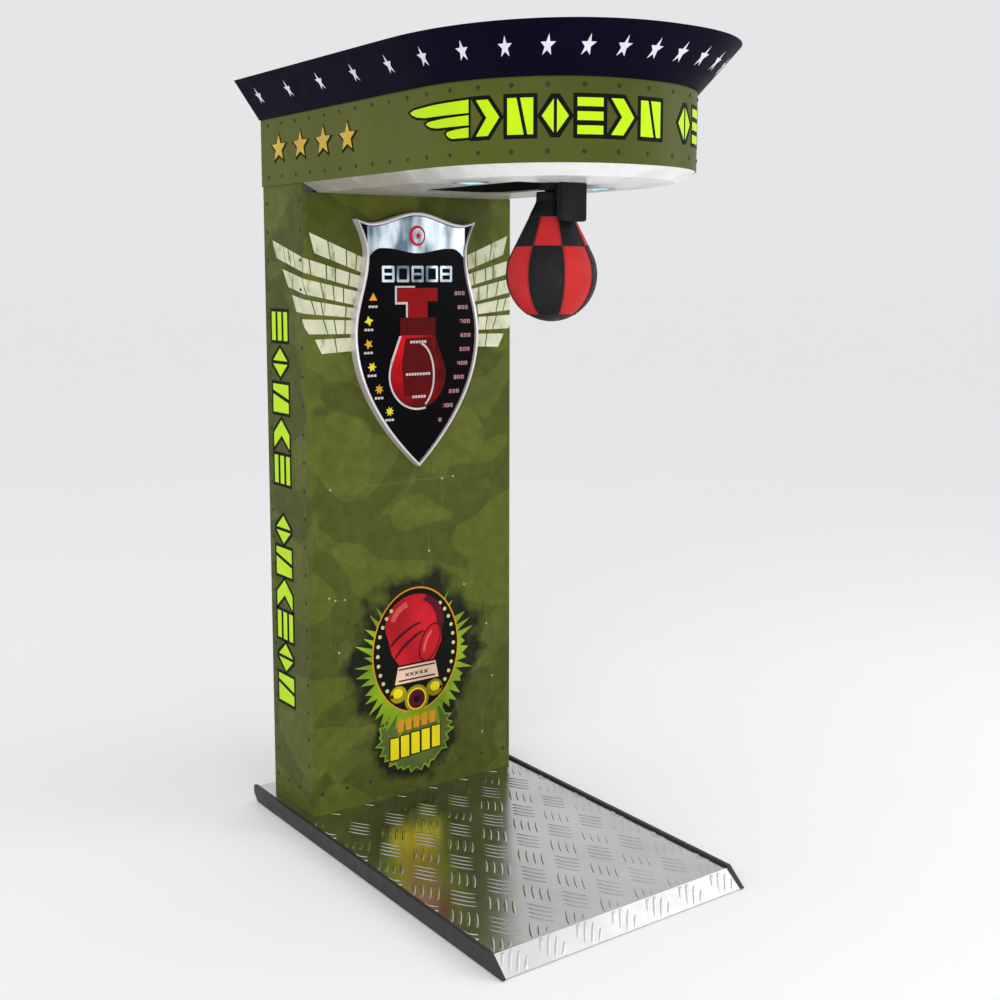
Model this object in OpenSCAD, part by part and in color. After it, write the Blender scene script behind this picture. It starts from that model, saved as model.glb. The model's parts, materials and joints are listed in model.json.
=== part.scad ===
// Boxing punch machine. A low platform carries a slim column with a shield
// shaped display, and a U shaped canopy holds a pear bag that swings up to park.
// +X is the player's right, +Y runs from the player to the column, +Z is up.
// The origin is on the floor, under the middle of the machine.

/* [Platform] */
// Width over the side rails
base_w = 810; // [760:10:900]
// Flat platform in front of the column
platform_l = 951; // [850:1:1100]
// Horizontal run of the front ramp
ramp_run = 50; // [40:5:70]
// Height of the side rails' top edge
rail_h = 50; // [46:1:60]
// Thickness of a side rail
rail_t = 12; // [8:1:16]
// Platform behind the column
rear_gap = 67; // [60:1:90]

/* [Column] */
// Width of the column
column_w = 724; // [680:2:740]
// Depth of the column
column_d = 252; // [240:2:280]
// Thickness of the sheet metal
sheet = 3; // [2:1:4]
// Outer radius of the column's front corners
corner_r = 8; // [6:1:12]

/* [Canopy] */
// Height of the canopy's lower edge
canopy_z = 1900; // [1850:10:1950]
// Height of the upright fascia band
fascia_h = 198; // [190:2:220]
// How far the fascia stands proud of the column's sides
fascia_proud = 4; // [4:1:8]
// Straight canopy sides in front of the column
side_l = 587; // [540:1:640]
// Length of the rounded nose
nose_l = 435; // [400:1:480]
// Squareness of the nose: 2 is an ellipse
nose_power = 2.24; // [2:0.02:2.6]
// Rise of the flared visor above the fascia
visor_rise = 102; // [80:2:120]
// Outward flare of the visor at the sides
visor_side = 82; // [60:2:100]
// Outward flare of the visor at the nose
visor_nose = 119; // [90:1:140]
// Drop of the flat ceiling below the fascia's lower edge
ceiling_drop = 26; // [20:1:30]
// Width of the bevelled rim round the ceiling
rim_w = 50; // [40:2:60]
// Distance of a downlight from the middle
light_x = 205; // [195:5:215]
// Radius of a downlight's glass
light_r = 40; // [36:1:44]

/* [Punch bag] */
// Distance of the bag's axis in front of the column
bag_gap = 663; // [640:1:680]
// Radius of the bag
bag_r = 120; // [110:1:122]
// Radius of the bag's neck
neck_r = 41; // [38:1:44]
// Height of the swing pivot above the canopy's lower edge
pivot_rise = 5; // [2:1:8]
// Distance from the pivot to the middle of the round part
bag_drop = 260; // [250:1:270]
// Swing from hanging to parked
swing_deg = 88; // [80:1:89]

/* [Shield display] */
// Height of the shield's widest part
shield_z = 1470; // [1400:10:1480]
// Half of the shield's greatest width
shield_half = 218; // [200:1:224]
// Depth of the silver frame
frame_d = 30; // [26:1:36]

/* [Hidden] */
$fn = 64;
total_d = rear_gap + column_d + side_l + nose_l + visor_nose;
rear_y = total_d / 2;
column_rear = rear_y - rear_gap;
column_front = column_rear - column_d;
platform_front = column_front - platform_l;
straight_y = column_front - side_l;
side_x = column_w / 2;
rail_inner = base_w / 2 - rail_t;
floor_gap = 3;
tread_t = 5;
tread_z = rail_h - 7;
tube = 30;
tube_wall = 3;
frame_z = tread_z - tread_t - tube;
fascia_top = canopy_z + fascia_h;
visor_top = fascia_top + visor_rise;
ceiling_z = canopy_z - ceiling_drop;
ceiling_t = 4;
bag_y = column_front - bag_gap;
pivot_z = canopy_z + pivot_rise;
shaft_r = 10;
running_gap = 0.08;
slot_half = bag_r + 17;
slot_front = bag_y - 33;
slot_rear = bag_y + bag_drop + bag_r + 62;
slot_r = 80;
recess_top = pivot_z + bag_r + 20;
beam_x = 300;
beam_z = recess_top + 5;
bearing_x = slot_half + 22;
foot_x = rail_inner - tube / 2;
feet_y = [platform_front + 45, rear_y - 75];
eps = 0.01;

// ---------- helpers ----------

// Mirrors its children to the other side of the machine as well
module both_sides() {
    children();
    mirror([1, 0, 0]) children();
}

// A round bar along X, centred on the point
module bar_x(x0, x1, y, z, r) {
    translate([x0, y, z]) rotate([0, 90, 0]) cylinder(h = x1 - x0, r = r);
}

// A round bar along Y
module bar_y(x, y0, y1, z, r) {
    translate([x, y0, z]) rotate([-90, 0, 0]) cylinder(h = y1 - y0, r = r);
}

// A block given by its two opposite corners
module block(low, high) {
    translate(low) cube(high - low);
}

// A channel along X with its open side down
module channel_x(x0, x1, y, z) {
    difference() {
        block([x0, y, z], [x1, y + tube, z + tube]);
        block([x0 - 1, y + tube_wall, z - 1], [x1 + 1, y + tube - tube_wall, z + tube - tube_wall]);
    }
}

// A channel along Y with its open side down
module channel_y(x, y0, y1, z) {
    difference() {
        block([x, y0, z], [x + tube, y1, z + tube]);
        block([x + tube_wall, y0 - 1, z - 1], [x + tube - tube_wall, y1 + 1, z + tube - tube_wall]);
    }
}

// A rectangle with round corners, built from true arcs
module round_rect(low, high, r) {
    translate([low.x + r, low.y]) square([high.x - low.x - 2 * r, high.y - low.y]);
    translate([low.x, low.y + r]) square([high.x - low.x, high.y - low.y - 2 * r]);
    for (x = [low.x + r, high.x - r], y = [low.y + r, high.y - r]) translate([x, y]) circle(r);
}

// Turns a shape drawn in X and height into a plate that faces the player
module facing(y_back, depth) {
    translate([0, y_back, 0]) rotate([90, 0, 0]) linear_extrude(depth) children();
}

// ---------- canopy plan ----------

nose_steps = 48;

// Sign-keeping power, for the rounded nose
function bend(v) = sign(v) * pow(abs(v), 2 / nose_power);

// Canopy outline, moved out by the two amounts, from rear left to rear right
function plan(side_out, nose_out, y_end) = concat(
    [[-side_x - fascia_proud - side_out, y_end]],
    [for (k = [0:nose_steps]) let (a = 180 * k / nose_steps)
        [-(side_x + fascia_proud + side_out) * bend(cos(a)), straight_y - (nose_l + nose_out) * bend(sin(a))]],
    [[side_x + fascia_proud + side_out, y_end]]);

function at_height(loop, z) = [for (p = loop) [p.x, p.y, z]];

// A thin wall through four loops: outer low, outer high, inner high, inner low
module band(loops) {
    n = len(loops[0]);
    quads = concat(
        [for (j = [0:3], i = [0:n - 2]) let (a = j * n + i, b = (j + 1) % 4 * n + i) [a, b, b + 1, a + 1]],
        [[0, 3 * n, 2 * n, n], [n - 1, 2 * n - 1, 3 * n - 1, 4 * n - 1]]);
    triangles = [for (q = quads, half = [[0, 1, 2], [0, 2, 3]]) [for (k = half) q[k]]];
    polyhedron(points = concat(loops[0], loops[1], loops[2], loops[3]), faces = triangles, convexity = 6);
}

// Distance round the canopy outline up to each of its points
function lengths(loop, i = 0, sum = 0) = i == len(loop) - 1 ? [sum]
    : concat([sum], lengths(loop, i + 1, sum + norm(loop[i + 1] - loop[i])));

// Point and outward heading at a distance along an outline
function walk(loop, far, s) =
    let (i = max([for (k = [0:len(far) - 2]) if (far[k] <= s) k]), t = (s - far[i]) / (far[i + 1] - far[i]),
        step = loop[i + 1] - loop[i])
    [loop[i] + step * t, atan2(-step.x, step.y)];

// ---------- platform ----------

cross_ys = [platform_front + 15, platform_front + 330, platform_front + 640, column_front, column_rear - tube];

module base_frame() {
    color("#20211f") difference() {
        union() {
            channel_y(-rail_inner, platform_front + 15, rear_y - 30, frame_z);
            channel_y(rail_inner - tube, platform_front + 15, rear_y - 30, frame_z);
            for (y = cross_ys)
                channel_x(-rail_inner + tube - tube_wall, rail_inner - tube + tube_wall, y, frame_z);
            for (x = [-foot_x, foot_x], y = feet_y)
                block([x - tube / 2, y - 25, frame_z + 12], [x + tube / 2, y + 25, frame_z + 18]);
        }
        for (x = [-foot_x, foot_x], y = feet_y)
            translate([x, y, frame_z + 10]) cylinder(h = 10, r = 5.1);
    }
}

module tread_plate() {
    color("silver") block([-rail_inner, platform_front, tread_z - tread_t], [rail_inner, rear_y, tread_z]);
}

module front_ramp() {
    low = [platform_front - ramp_run, floor_gap];
    color("gainsboro") rotate([90, 0, 90]) translate([0, 0, -rail_inner]) linear_extrude(2 * rail_inner)
        polygon([low, [low.x + 6, floor_gap], [platform_front, tread_z - tread_t], [platform_front, tread_z]]);
}

// Side rail: a plate with a sloped front end and a relieved rear heel
module side_rail(x) {
    color("#161616") translate([x, 0, 0]) rotate([90, 0, 90]) linear_extrude(rail_t)
        polygon([[platform_front - ramp_run - 4, floor_gap], [rear_y - 24, floor_gap],
            [rear_y, floor_gap + 22], [rear_y, rail_h], [platform_front, rail_h]]);
}

module side_rail_left() {
    side_rail(-base_w / 2);
}

module side_rail_right() {
    side_rail(rail_inner);
}

module levelling_feet() {
    color("#2a2a2a") for (x = [-foot_x, foot_x], y = feet_y) translate([x, y, 0]) {
        cylinder(h = 3, r = 14);
        translate([0, 0, 3]) cylinder(h = 3, r1 = 14, r2 = 8);
        translate([0, 0, 5]) cylinder(h = 22, r = 5);
        translate([0, 0, frame_z + 19]) cylinder(h = 5, r = 9, $fn = 6);
    }
}

wheel_r = 16.5;
wheel_x = 300;
wheel_w = 22;
wheel_y = rear_y - 18;
wheel_z = 20;

module wheel_brackets() {
    color("dimgray") both_sides() translate([wheel_x, 0, 0]) {
        for (x = [-wheel_w / 2 - 4, wheel_w / 2 + 1]) difference() {
            block([x, wheel_y - 14, 10], [x + 3, wheel_y + 14, tread_z - tread_t]);
            bar_x(x - 1, x + 4, wheel_y, wheel_z, 4);
        }
        bar_x(-wheel_w / 2 - 6, wheel_w / 2 + 6, wheel_y, wheel_z, 4);
        block([-wheel_w / 2 - 4, wheel_y - 22, 32], [wheel_w / 2 + 4, wheel_y - 17, tread_z - tread_t]);
        for (x = [-wheel_w / 2 - 4, wheel_w / 2 + 1])
            block([x, wheel_y - 18, 32], [x + 3, wheel_y - 13, tread_z - tread_t]);
    }
}

module transport_wheel(x) {
    color("#3a3a3a") difference() {
        bar_x(x - wheel_w / 2, x + wheel_w / 2, wheel_y, wheel_z, wheel_r);
        bar_x(x - wheel_w, x + wheel_w, wheel_y, wheel_z, 4 + running_gap);
        for (s = [-1, 1]) bar_x(x + s * wheel_w / 2 - 3, x + s * wheel_w / 2 + 3, wheel_y, wheel_z, 10);
    }
}

module transport_wheel_left() {
    transport_wheel(-wheel_x);
}

module transport_wheel_right() {
    transport_wheel(wheel_x);
}

// ---------- column ----------

inner_x = side_x - sheet;
front_in = column_front + sheet;
post_top = beam_z + 40;

// Angle iron post, its relieved corner at the origin, legs along +X and +Y
module post() {
    relief = corner_r - sheet;
    leg = [[relief, 0], [tube, 0], [tube, tube_wall], [relief + tube_wall, tube_wall]];
    linear_extrude(post_top - tread_z) polygon(concat(leg, [for (k = [3:-1:0]) [leg[k].y, leg[k].x]]));
}

module column_frame() {
    color("#3c3f3a") {
        both_sides() translate([-inner_x, front_in, tread_z]) post();
        both_sides() translate([-inner_x, column_rear - sheet, tread_z]) mirror([0, 1, 0]) post();
        for (z = [tread_z, 940, ceiling_z - 40]) {
            block([-inner_x + tube, front_in, z], [inner_x - tube, front_in + tube_wall, z + tube]);
            both_sides() translate([-inner_x, front_in + tube, z])
                cube([tube_wall, column_d - 2 * (sheet + tube), tube]);
        }
        block([150, front_in + tube_wall, cash_z - 3], [inner_x - tube_wall, column_rear - 40, cash_z]);
    }
}

// Outline of the column's front with round corners
module column_outline(inset) {
    r = corner_r - inset;
    low = [-side_x + inset, column_front + inset];
    translate([low.x + r, low.y]) square([-2 * (low.x + r), column_d]);
    translate([low.x, low.y + r]) square([-2 * low.x, column_d]);
    for (s = [-1, 1]) translate([s * (-low.x - r), low.y + r]) circle(r);
}

module front_panel() {
    color("#6b7638") translate([0, 0, tread_z]) linear_extrude(ceiling_z - tread_z) intersection() {
        difference() {
            column_outline(0);
            column_outline(sheet);
        }
        translate([-side_x, column_front]) square([column_w, corner_r]);
    }
}

coin_y = column_front + 126;
coin_z = 1103;
coin_half = [66, 102];
cash_z = 760;
speaker_z = 1560;

module side_sheet() {
    block([-side_x, column_front + corner_r, tread_z], [-inner_x, column_rear, canopy_z]);
    block([-side_x, column_front + corner_r, canopy_z - eps], [-inner_x, column_rear, canopy_z + 60]);
}

module left_side_panel() {
    color("#66713a") side_sheet();
}

module right_side_panel() {
    color("#66713a") difference() {
        mirror([1, 0, 0]) side_sheet();
        block([0, coin_y - coin_half.x - 3, coin_z - coin_half.y - 3],
            [side_x + 1, coin_y + coin_half.x + 3, coin_z + coin_half.y + 3]);
        for (k = [-3:3]) let (z = speaker_z + 14 * k)
            block([0, coin_y - 42, z - 2.5], [side_x + 1, coin_y + 42, z + 2.5]);
    }
}

door_low = 352;
door_high = 1048;

module back_plate(z0, z1) {
    block([-inner_x, column_rear - sheet, z0], [inner_x, column_rear, z1]);
}

module back_panel_lower() {
    color("#4a5230") difference() {
        back_plate(tread_z, door_low - 2);
        rear_block(inlet_x, [-10, 1], [24, 14]);
    }
}

module back_panel_upper() {
    color("#4a5230") difference() {
        back_plate(door_high + 2, fascia_top - sheet);
        for (k = [0:7]) block([-150, column_rear - 10, 1640 + 18 * k], [150, column_rear + 1, 1646 + 18 * k]);
    }
}

module rivet() {
    cylinder(h = 2.2, r1 = 5.5, r2 = 3.5);
}

module column_rivets() {
    pitch = 83;
    color("#454c28") {
        for (k = [-4:4]) translate([k * pitch, column_front, 108]) rotate([90, 0, 0]) rivet();
        for (s = [-1, 1], z = [108:pitch:1860], y = [column_front + 26, column_rear - 22])
            translate([s * side_x, y, z]) rotate([0, s * 90, 0]) rivet();
        for (s = [-1, 1], y = [column_front + 92, column_front + 160])
            translate([s * side_x, y, 108]) rotate([0, s * 90, 0]) rivet();
    }
}

// ---------- service door ----------

hinge_x = -inner_x + 23;
hinge_y = column_rear + 2;
hinge_r = 4;
pin_r = 2.5;
hinge_zs = [door_low + 90, door_high - 90];
lock_x = inner_x - 40;
lock_z = 700;

module service_door() {
    color("#4a5230") {
        difference() {
            union() {
                block([hinge_x + 5.5, column_rear - sheet, door_low], [inner_x - 2, column_rear, door_high]);
                for (z = hinge_zs) {
                    block([hinge_x, column_rear - sheet + 1, z - 9.7], [hinge_x + 6, column_rear, z + 9.7]);
                    translate([hinge_x, hinge_y, z - 9.7]) cylinder(h = 19.4, r = hinge_r);
                }
            }
            for (z = hinge_zs) translate([hinge_x, hinge_y, z - 11]) cylinder(h = 22, r = pin_r + running_gap);
            bar_y(lock_x, column_rear - 10, column_rear + 10, lock_z, 9 + running_gap);
            for (k = [0:9]) let (z = 430 + 16 * k)
                block([-120, column_rear - 10, z], [120, column_rear + 1, z + 5]);
        }
    }
}

module service_door_hinges() {
    color("darkgray") for (z = hinge_zs) {
        block([-inner_x + 1, column_rear - sheet, z - 30], [hinge_x - 5.5, column_rear - 1, z + 30]);
        for (low = [z - 30, z + 10]) {
            block([hinge_x - 6, column_rear - sheet, low], [hinge_x, column_rear - 1, low + 20]);
            translate([hinge_x, hinge_y, low]) cylinder(h = 20, r = hinge_r);
        }
        translate([hinge_x, hinge_y, z - 32]) cylinder(h = 64, r = pin_r);
    }
}

// Barrel that turns in the door, with the cam hanging down when unlocked
module service_lock() {
    color("silver") difference() {
        union() {
            bar_y(lock_x, column_rear - 12, column_rear + 5, lock_z, 9);
            bar_y(lock_x, column_rear + 0.5, column_rear + 4, lock_z, 12);
            block([lock_x - 8, column_rear - 15, lock_z - 30], [lock_x + 8, column_rear - 12, lock_z + 8]);
        }
        block([lock_x - 1, column_rear + 1, lock_z - 5], [lock_x + 1, column_rear + 6, lock_z + 5]);
    }
}

// ---------- coin door on the right side ----------

door_face = side_x + 4;
coin_hinge_x = door_face + 3;
coin_hinge_y = coin_y + coin_half.x - 1;
coin_hinge_zs = [coin_z - 70, coin_z + 70];
coin_slot_y = coin_y + 26;
coin_slot_z = coin_z + 48;
coin_lock_y = coin_y - 48;
button_y = coin_y - 14;
button_z = coin_z + 84;
cup_y = coin_y - 6;
cup_z = coin_z - 58;
cup_half = [34, 27];

module coin_door_frame() {
    color("#1b1b1b") {
        difference() {
            block([side_x, coin_y - coin_half.x - 14, coin_z - coin_half.y - 14],
                [door_face, coin_y + coin_half.x + 14, coin_z + coin_half.y + 14]);
            block([side_x - 1, coin_y - coin_half.x, coin_z - coin_half.y],
                [door_face + 1, coin_y + coin_half.x, coin_z + coin_half.y]);
        }
        difference() {
            block([side_x - 8, coin_y - coin_half.x - 2.5, coin_z - coin_half.y - 2.5],
                [side_x + 1, coin_y + coin_half.x + 2.5, coin_z + coin_half.y + 2.5]);
            block([side_x - 9, coin_y - coin_half.x, coin_z - coin_half.y],
                [side_x + 2, coin_y + coin_half.x, coin_z + coin_half.y]);
        }
        for (z = coin_hinge_zs, low = [z - 20, z + 8]) {
            translate([coin_hinge_x, coin_hinge_y, low]) cylinder(h = 12, r = 3);
            block([door_face - 1, coin_hinge_y, low], [coin_hinge_x + 1, coin_hinge_y + 7, low + 12]);
        }
        for (z = coin_hinge_zs) translate([coin_hinge_x, coin_hinge_y, z - 20]) cylinder(h = 40, r = 1.5);
    }
}

// A block centred on the coin slot, between two depths, by half width and half height
module coin_slot_block(depth, half) {
    block([depth[0], coin_slot_y - half[0], coin_slot_z - half[1]],
        [depth[1], coin_slot_y + half[0], coin_slot_z + half[1]]);
}

module coin_door() {
    color("#262626") difference() {
        union() {
            block([side_x, coin_y - coin_half.x + 2, coin_z - coin_half.y + 2],
                [door_face, coin_hinge_y - 3.5, coin_z + coin_half.y - 2]);
            coin_slot_block([door_face - eps, door_face + 4], [9, 24]);
            for (z = coin_hinge_zs) {
                block([door_face - 2, coin_hinge_y - 6, z - 7.7], [door_face + 1, coin_hinge_y, z + 7.7]);
                translate([coin_hinge_x, coin_hinge_y, z - 7.7]) cylinder(h = 15.4, r = 3);
            }
        }
        for (z = coin_hinge_zs)
            translate([coin_hinge_x, coin_hinge_y, z - 9]) cylinder(h = 18, r = 1.5 + running_gap);
        coin_slot_block([side_x - 1, door_face + 5], [3, 16]);
        bar_x(side_x - 1, door_face + 1, coin_lock_y, coin_z, 8 + running_gap);
        bar_x(side_x - 1, door_face + 1, button_y, button_z, 7.4);
        cup_block([side_x - 1, door_face + 1], 3);
    }
}

module coin_door_lock() {
    color("silver") difference() {
        union() {
            bar_x(side_x - 10, door_face + 4, coin_lock_y, coin_z, 8);
            bar_x(door_face + 0.5, door_face + 3.5, coin_lock_y, coin_z, 10.5);
            block([side_x - 13, coin_lock_y - 6, coin_z - 24], [side_x - 10, coin_lock_y + 6, coin_z + 6]);
        }
        block([door_face + 1, coin_lock_y - 4, coin_z - 0.9], [door_face + 5, coin_lock_y + 4, coin_z + 0.9]);
    }
}

// Coin mechanism behind the door, with a pocket that takes the coin
module coin_validator() {
    color("#355a86") difference() {
        block([side_x - 62, coin_y - 20, coin_z - 18], [side_x - 1, coin_y + 44, coin_z + 70]);
        coin_slot_block([side_x - 40, side_x], [3, 16]);
    }
}

module coin_reject_button() {
    color("crimson") {
        bar_x(side_x - 6, door_face + 7, button_y, button_z, 7);
        bar_x(side_x - 6, side_x - 3, button_y, button_z, 9.5);
    }
}

// A block centred on the return cup, between two depths, drawn in by a wall
module cup_block(depth, wall) {
    block([depth[0], cup_y - cup_half.x + wall, cup_z - cup_half.y + wall],
        [depth[1], cup_y + cup_half.x - wall, cup_z + cup_half.y - wall]);
}

module coin_return_cup() {
    color("#303030") difference() {
        cup_block([side_x - 40, side_x], 0);
        cup_block([side_x - 37, side_x + 1], 3);
        for (s = [-1, 1]) let (y = cup_y + s * (cup_half.x - 2))
            bar_y(flap_x, y - 2, y + 2, flap_z, 1.5 + running_gap);
    }
}

flap_x = side_x - 4;
flap_z = cup_z + cup_half.y - 6;

// Flap that hangs from pins and is pushed inwards
module coin_return_flap() {
    half = cup_half.x - 4;
    color("#8a8f94") {
        block([flap_x - 1, cup_y - half, cup_z - cup_half.y + 4], [flap_x + 1, cup_y + half, flap_z]);
        bar_y(flap_x, cup_y - half - 2.6, cup_y + half + 2.6, flap_z, 1.5);
    }
}

module cash_box() {
    low = [190, column_front + 30, cash_z];
    high = [inner_x - 40, column_rear - 60, cash_z + 130];
    wall = [2, 2, 2];
    color("#7d8085") difference() {
        block(low, high);
        block(low + wall, [high.x - wall.x, high.y - wall.y, high.z + 1]);
    }
}

// ---------- electrical pieces ----------

inlet_x = 250;
inlet_z = 160;
switch_x = inlet_x + 14;

// A block centred on a point of the rear face, between two depths
module rear_block(x, depth, half) {
    block([x - half[0], column_rear + depth[0], inlet_z - half[1]],
        [x + half[0], column_rear + depth[1], inlet_z + half[1]]);
}

module mains_inlet() {
    color("#101010") difference() {
        union() {
            rear_block(inlet_x, [-26, 0], [23.5, 13.5]);
            rear_block(inlet_x, [0, 2], [27, 16]);
        }
        rear_block(inlet_x - 7.5, [-18, 3], [12.5, 10]);
        rear_block(switch_x, [-14, 3], [5.5, 10.5]);
        bar_x(switch_x - 7.5, switch_x + 7.5, column_rear - 4, inlet_z, 1.2 + running_gap);
    }
    color("silver") for (x = [-15, -7.5, 0]) rear_block(inlet_x + x, [-19, -5], [1, 3]);
}

// Rocker on a cross pin, tipped up at one end
module power_switch() {
    tip = 8;
    color("#b01818") {
        bar_x(switch_x - 7.2, switch_x + 7.2, column_rear - 4, inlet_z, 1.2);
        translate([switch_x - 5, column_rear - 4, inlet_z]) rotate([tip, 0, 0]) rotate([90, 0, 90])
            linear_extrude(10)
                polygon([[-5, -3], [-5, 3], [0, 8.6], [5, 8.6], [3.4, 0], [5, -8.6], [0, -8.6]]);
    }
}

module power_supply() {
    color("#a9adb0") difference() {
        block([-120, column_front + 40, tread_z], [90, column_front + 140, tread_z + 50]);
        for (k = [0:9]) let (x = -105 + 18 * k)
            block([x, column_front + 60, tread_z + 47], [x + 9, column_front + 120, tread_z + 51]);
    }
}

module control_board() {
    y = column_front + sheet + 15;
    color("#1f6b3a") {
        block([-150, y, 560], [70, y + 1.6, 720]);
        for (x = [-140, 60], z = [570, 710]) bar_y(x, column_front + sheet, y, z, 4);
    }
    color("#222222") for (k = [0:3]) let (x = -130 + 50 * k)
        block([x, y + 1.6, 600], [x + 32, y + 12, 632 + 10 * k]);
}

module speaker() {
    color("#2b2b2b") translate([inner_x, coin_y, speaker_z]) rotate([0, -90, 0]) {
        difference() {
            cylinder(h = 4, r = 62);
            translate([0, 0, -1]) cylinder(h = 6, r = 52);
        }
        difference() {
            translate([0, 0, 3.5]) cylinder(h = 26, r1 = 54, r2 = 30);
            translate([0, 0, 3]) cylinder(h = 24, r1 = 50, r2 = 24);
        }
        translate([0, 0, 29]) cylinder(h = 16, r = 36);
    }
}

// ---------- shield display ----------

waist_at = 0.72;
upper_h = 333;
lower_h = 400;
waist = 44;
ear = 33;
dip_x = 165;
dip_z = shield_z + upper_h - 10;
peak = 34;

// Half width of the shield at a share of the way up from its widest part
function upper_half(u) = u < waist_at
    ? shield_half - waist * (0.5 - 0.5 * cos(180 * u / waist_at))
    : shield_half - waist + ear * pow((u - waist_at) / (1 - waist_at), 1.6);
function lower_half(v) = shield_half * (1 - v * v);
function half_at(z) = z > shield_z
    ? upper_half((z - shield_z) / upper_h)
    : lower_half((shield_z - z) / lower_h);

// Height of the shield's top edge
function top_at(x) = abs(x) < dip_x
    ? dip_z + peak * (0.5 + 0.5 * cos(180 * x / dip_x))
    : dip_z + 10 * pow((abs(x) - dip_x) / (upper_half(1) - dip_x), 1.5);

// Right edge from the bottom tip to the ear, then the top edge to the middle
function shield_side() = concat(
    [for (k = [0:20]) let (v = cos(90 * k / 20)) [lower_half(v), shield_z - lower_h * v]],
    [for (k = [1:16]) [upper_half(k / 16), shield_z + upper_h * k / 16]],
    [for (k = [1:14]) let (x = upper_half(1) * (1 - k / 14)) [x, top_at(x)]]);

function mirrored(side) = [for (k = [len(side) - 2:-1:1]) [-side[k].x, side[k].y]];

// Shield outline, drawn in by a rim width
module shield(rim) {
    side = shield_side();
    k = 1 - rim / shield_half;
    kz = 1 - 2 * rim / (upper_h + lower_h);
    mid = shield_z - 20;
    points = [for (p = concat(side, mirrored(side))) [p.x * k, mid + (p.y - mid) * kz]];
    polygon(points);
}

rim = 10;

module shield_housing() {
    color("#111111") facing(column_front, frame_d - 12) shield(rim + 0.2);
}

module shield_frame() {
    color("#d8d8d4") facing(column_front, frame_d) difference() {
        shield(0);
        shield(rim);
    }
}

panel_y = column_front - frame_d + 12;

module display_panel() {
    color("#0a0a0c") facing(panel_y, 3) shield(rim + 0.6);
}

// Lower edge of the silver-blue plate
function plate_edge(x) = shield_z + 237
    + 14 * pow(sin(90 * min(abs(x) / 110, 1)), 2)
    - 40 * pow(max(abs(x) - 125, 0) / 50, 2);

module display_top_plate() {
    color("#9db4c4") facing(panel_y - 3, 2) intersection() {
        shield(rim + 1.5);
        polygon(concat([for (k = [-20:20]) [8.5 * k, plate_edge(8.5 * k)]], [[170, 1900], [-170, 1900]]));
    }
}

bulb_z = shield_z - 125;
bulb_r = 98;

// Front view of a hanging bag: bulb, collar, stem and cross bar
module bag_picture() {
    translate([0, bulb_z]) circle(bulb_r);
    polygon([[-92, bulb_z + 34], [92, bulb_z + 34], [60, bulb_z + 120], [-60, bulb_z + 120]]);
    translate([-62, bulb_z + 119]) square([124, 53]);
    translate([-34, bulb_z + 171]) square([68, 48]);
    translate([-70, bulb_z + 218]) square([140, 42]);
}

module bag_lamp_lens() {
    color("#a80f12") facing(panel_y - 3, 3) bag_picture();
}

module score_lamps() {
    color("#d8b0a8") for (k = [0:9]) let (z = shield_z + 118 - 42.4 * k, x = half_at(z) - 45)
        facing(panel_y - 3, 2) translate([x - 17, z - 7]) square([34, 14]);
}

module rank_lamps() {
    color("#e0a020") for (k = [0:5]) let (z = shield_z + 107 - 67 * k, x = half_at(z) - 47)
        facing(panel_y - 3, 2) {
            translate([-x, z]) circle(15);
            translate([-x - 15, z - 29]) square([30, 8]);
        }
}

// ---------- canopy ----------

beam_h = 40;

module head_frame() {
    beam_front = -slot_half - 190;
    under = beam_z + beam_h - tube_wall;
    color("#3c3f3a") {
        both_sides() difference() {
            block([beam_x - tube, beam_front, beam_z], [beam_x, column_rear - sheet - tube, beam_z + beam_h]);
            block([beam_x - tube + tube_wall, beam_front - 1, beam_z - 1],
                [beam_x - tube_wall, column_rear, under]);
        }
        for (y = [beam_front, slot_rear + 20, column_front - tube]) difference() {
            block([-beam_x + tube, y, beam_z], [beam_x - tube, y + tube, beam_z + beam_h]);
            block([-beam_x, y + tube_wall, beam_z - 1], [beam_x, y + tube - tube_wall, under]);
        }
        for (s = [-1, 1])
            block([s > 0 ? beam_x : -inner_x + tube_wall, column_rear - 60, beam_z],
                [s > 0 ? inner_x - tube_wall : -beam_x, column_rear - 60 + tube_wall, beam_z + beam_h]);
    }
}

module head_fascia() {
    color("#5d672d") translate([0, 0, canopy_z]) linear_extrude(fascia_h) difference() {
        polygon(plan(0, 0, column_rear));
        polygon(plan(-sheet, -sheet, column_rear + 1));
    }
}

// Opening for the parked bag: small front corners, large rear ones
module bag_slot(grow) {
    half = slot_half + grow;
    round_rect([-half, slot_front - grow], [half, slot_front + 200], 12 + grow);
    round_rect([-half, slot_front + 20], [half, slot_rear + grow], slot_r + grow);
}

light_y = straight_y - 14;

// Flat ceiling sheet and, fitted round it, the bevelled rim
module head_ceiling() {
    color("#d9d9d6") {
        difference() {
            translate([0, 0, ceiling_z]) linear_extrude(ceiling_t) difference() {
                polygon(plan(-rim_w - 0.2, -rim_w - 0.2, column_front));
                bag_slot(0);
            }
            for (s = [-1, 1]) translate([s * light_x, light_y, ceiling_z - 1])
                cylinder(h = ceiling_t + 2, r = light_r + 4);
        }
        band([at_height(plan(-rim_w, -rim_w, column_front), ceiling_z),
            at_height(plan(-sheet - 0.2, -sheet - 0.2, column_front), canopy_z),
            at_height(plan(-sheet - 0.2, -sheet - 0.2, column_front), canopy_z + ceiling_t),
            at_height(plan(-rim_w, -rim_w, column_front), ceiling_z + ceiling_t)]);
    }
}

module head_top_cover() {
    color("#2f3320") translate([0, 0, fascia_top - sheet]) linear_extrude(sheet)
        polygon(plan(-sheet - 0.2, -sheet - 0.2, column_rear));
}

visor_lap = 6;

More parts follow.
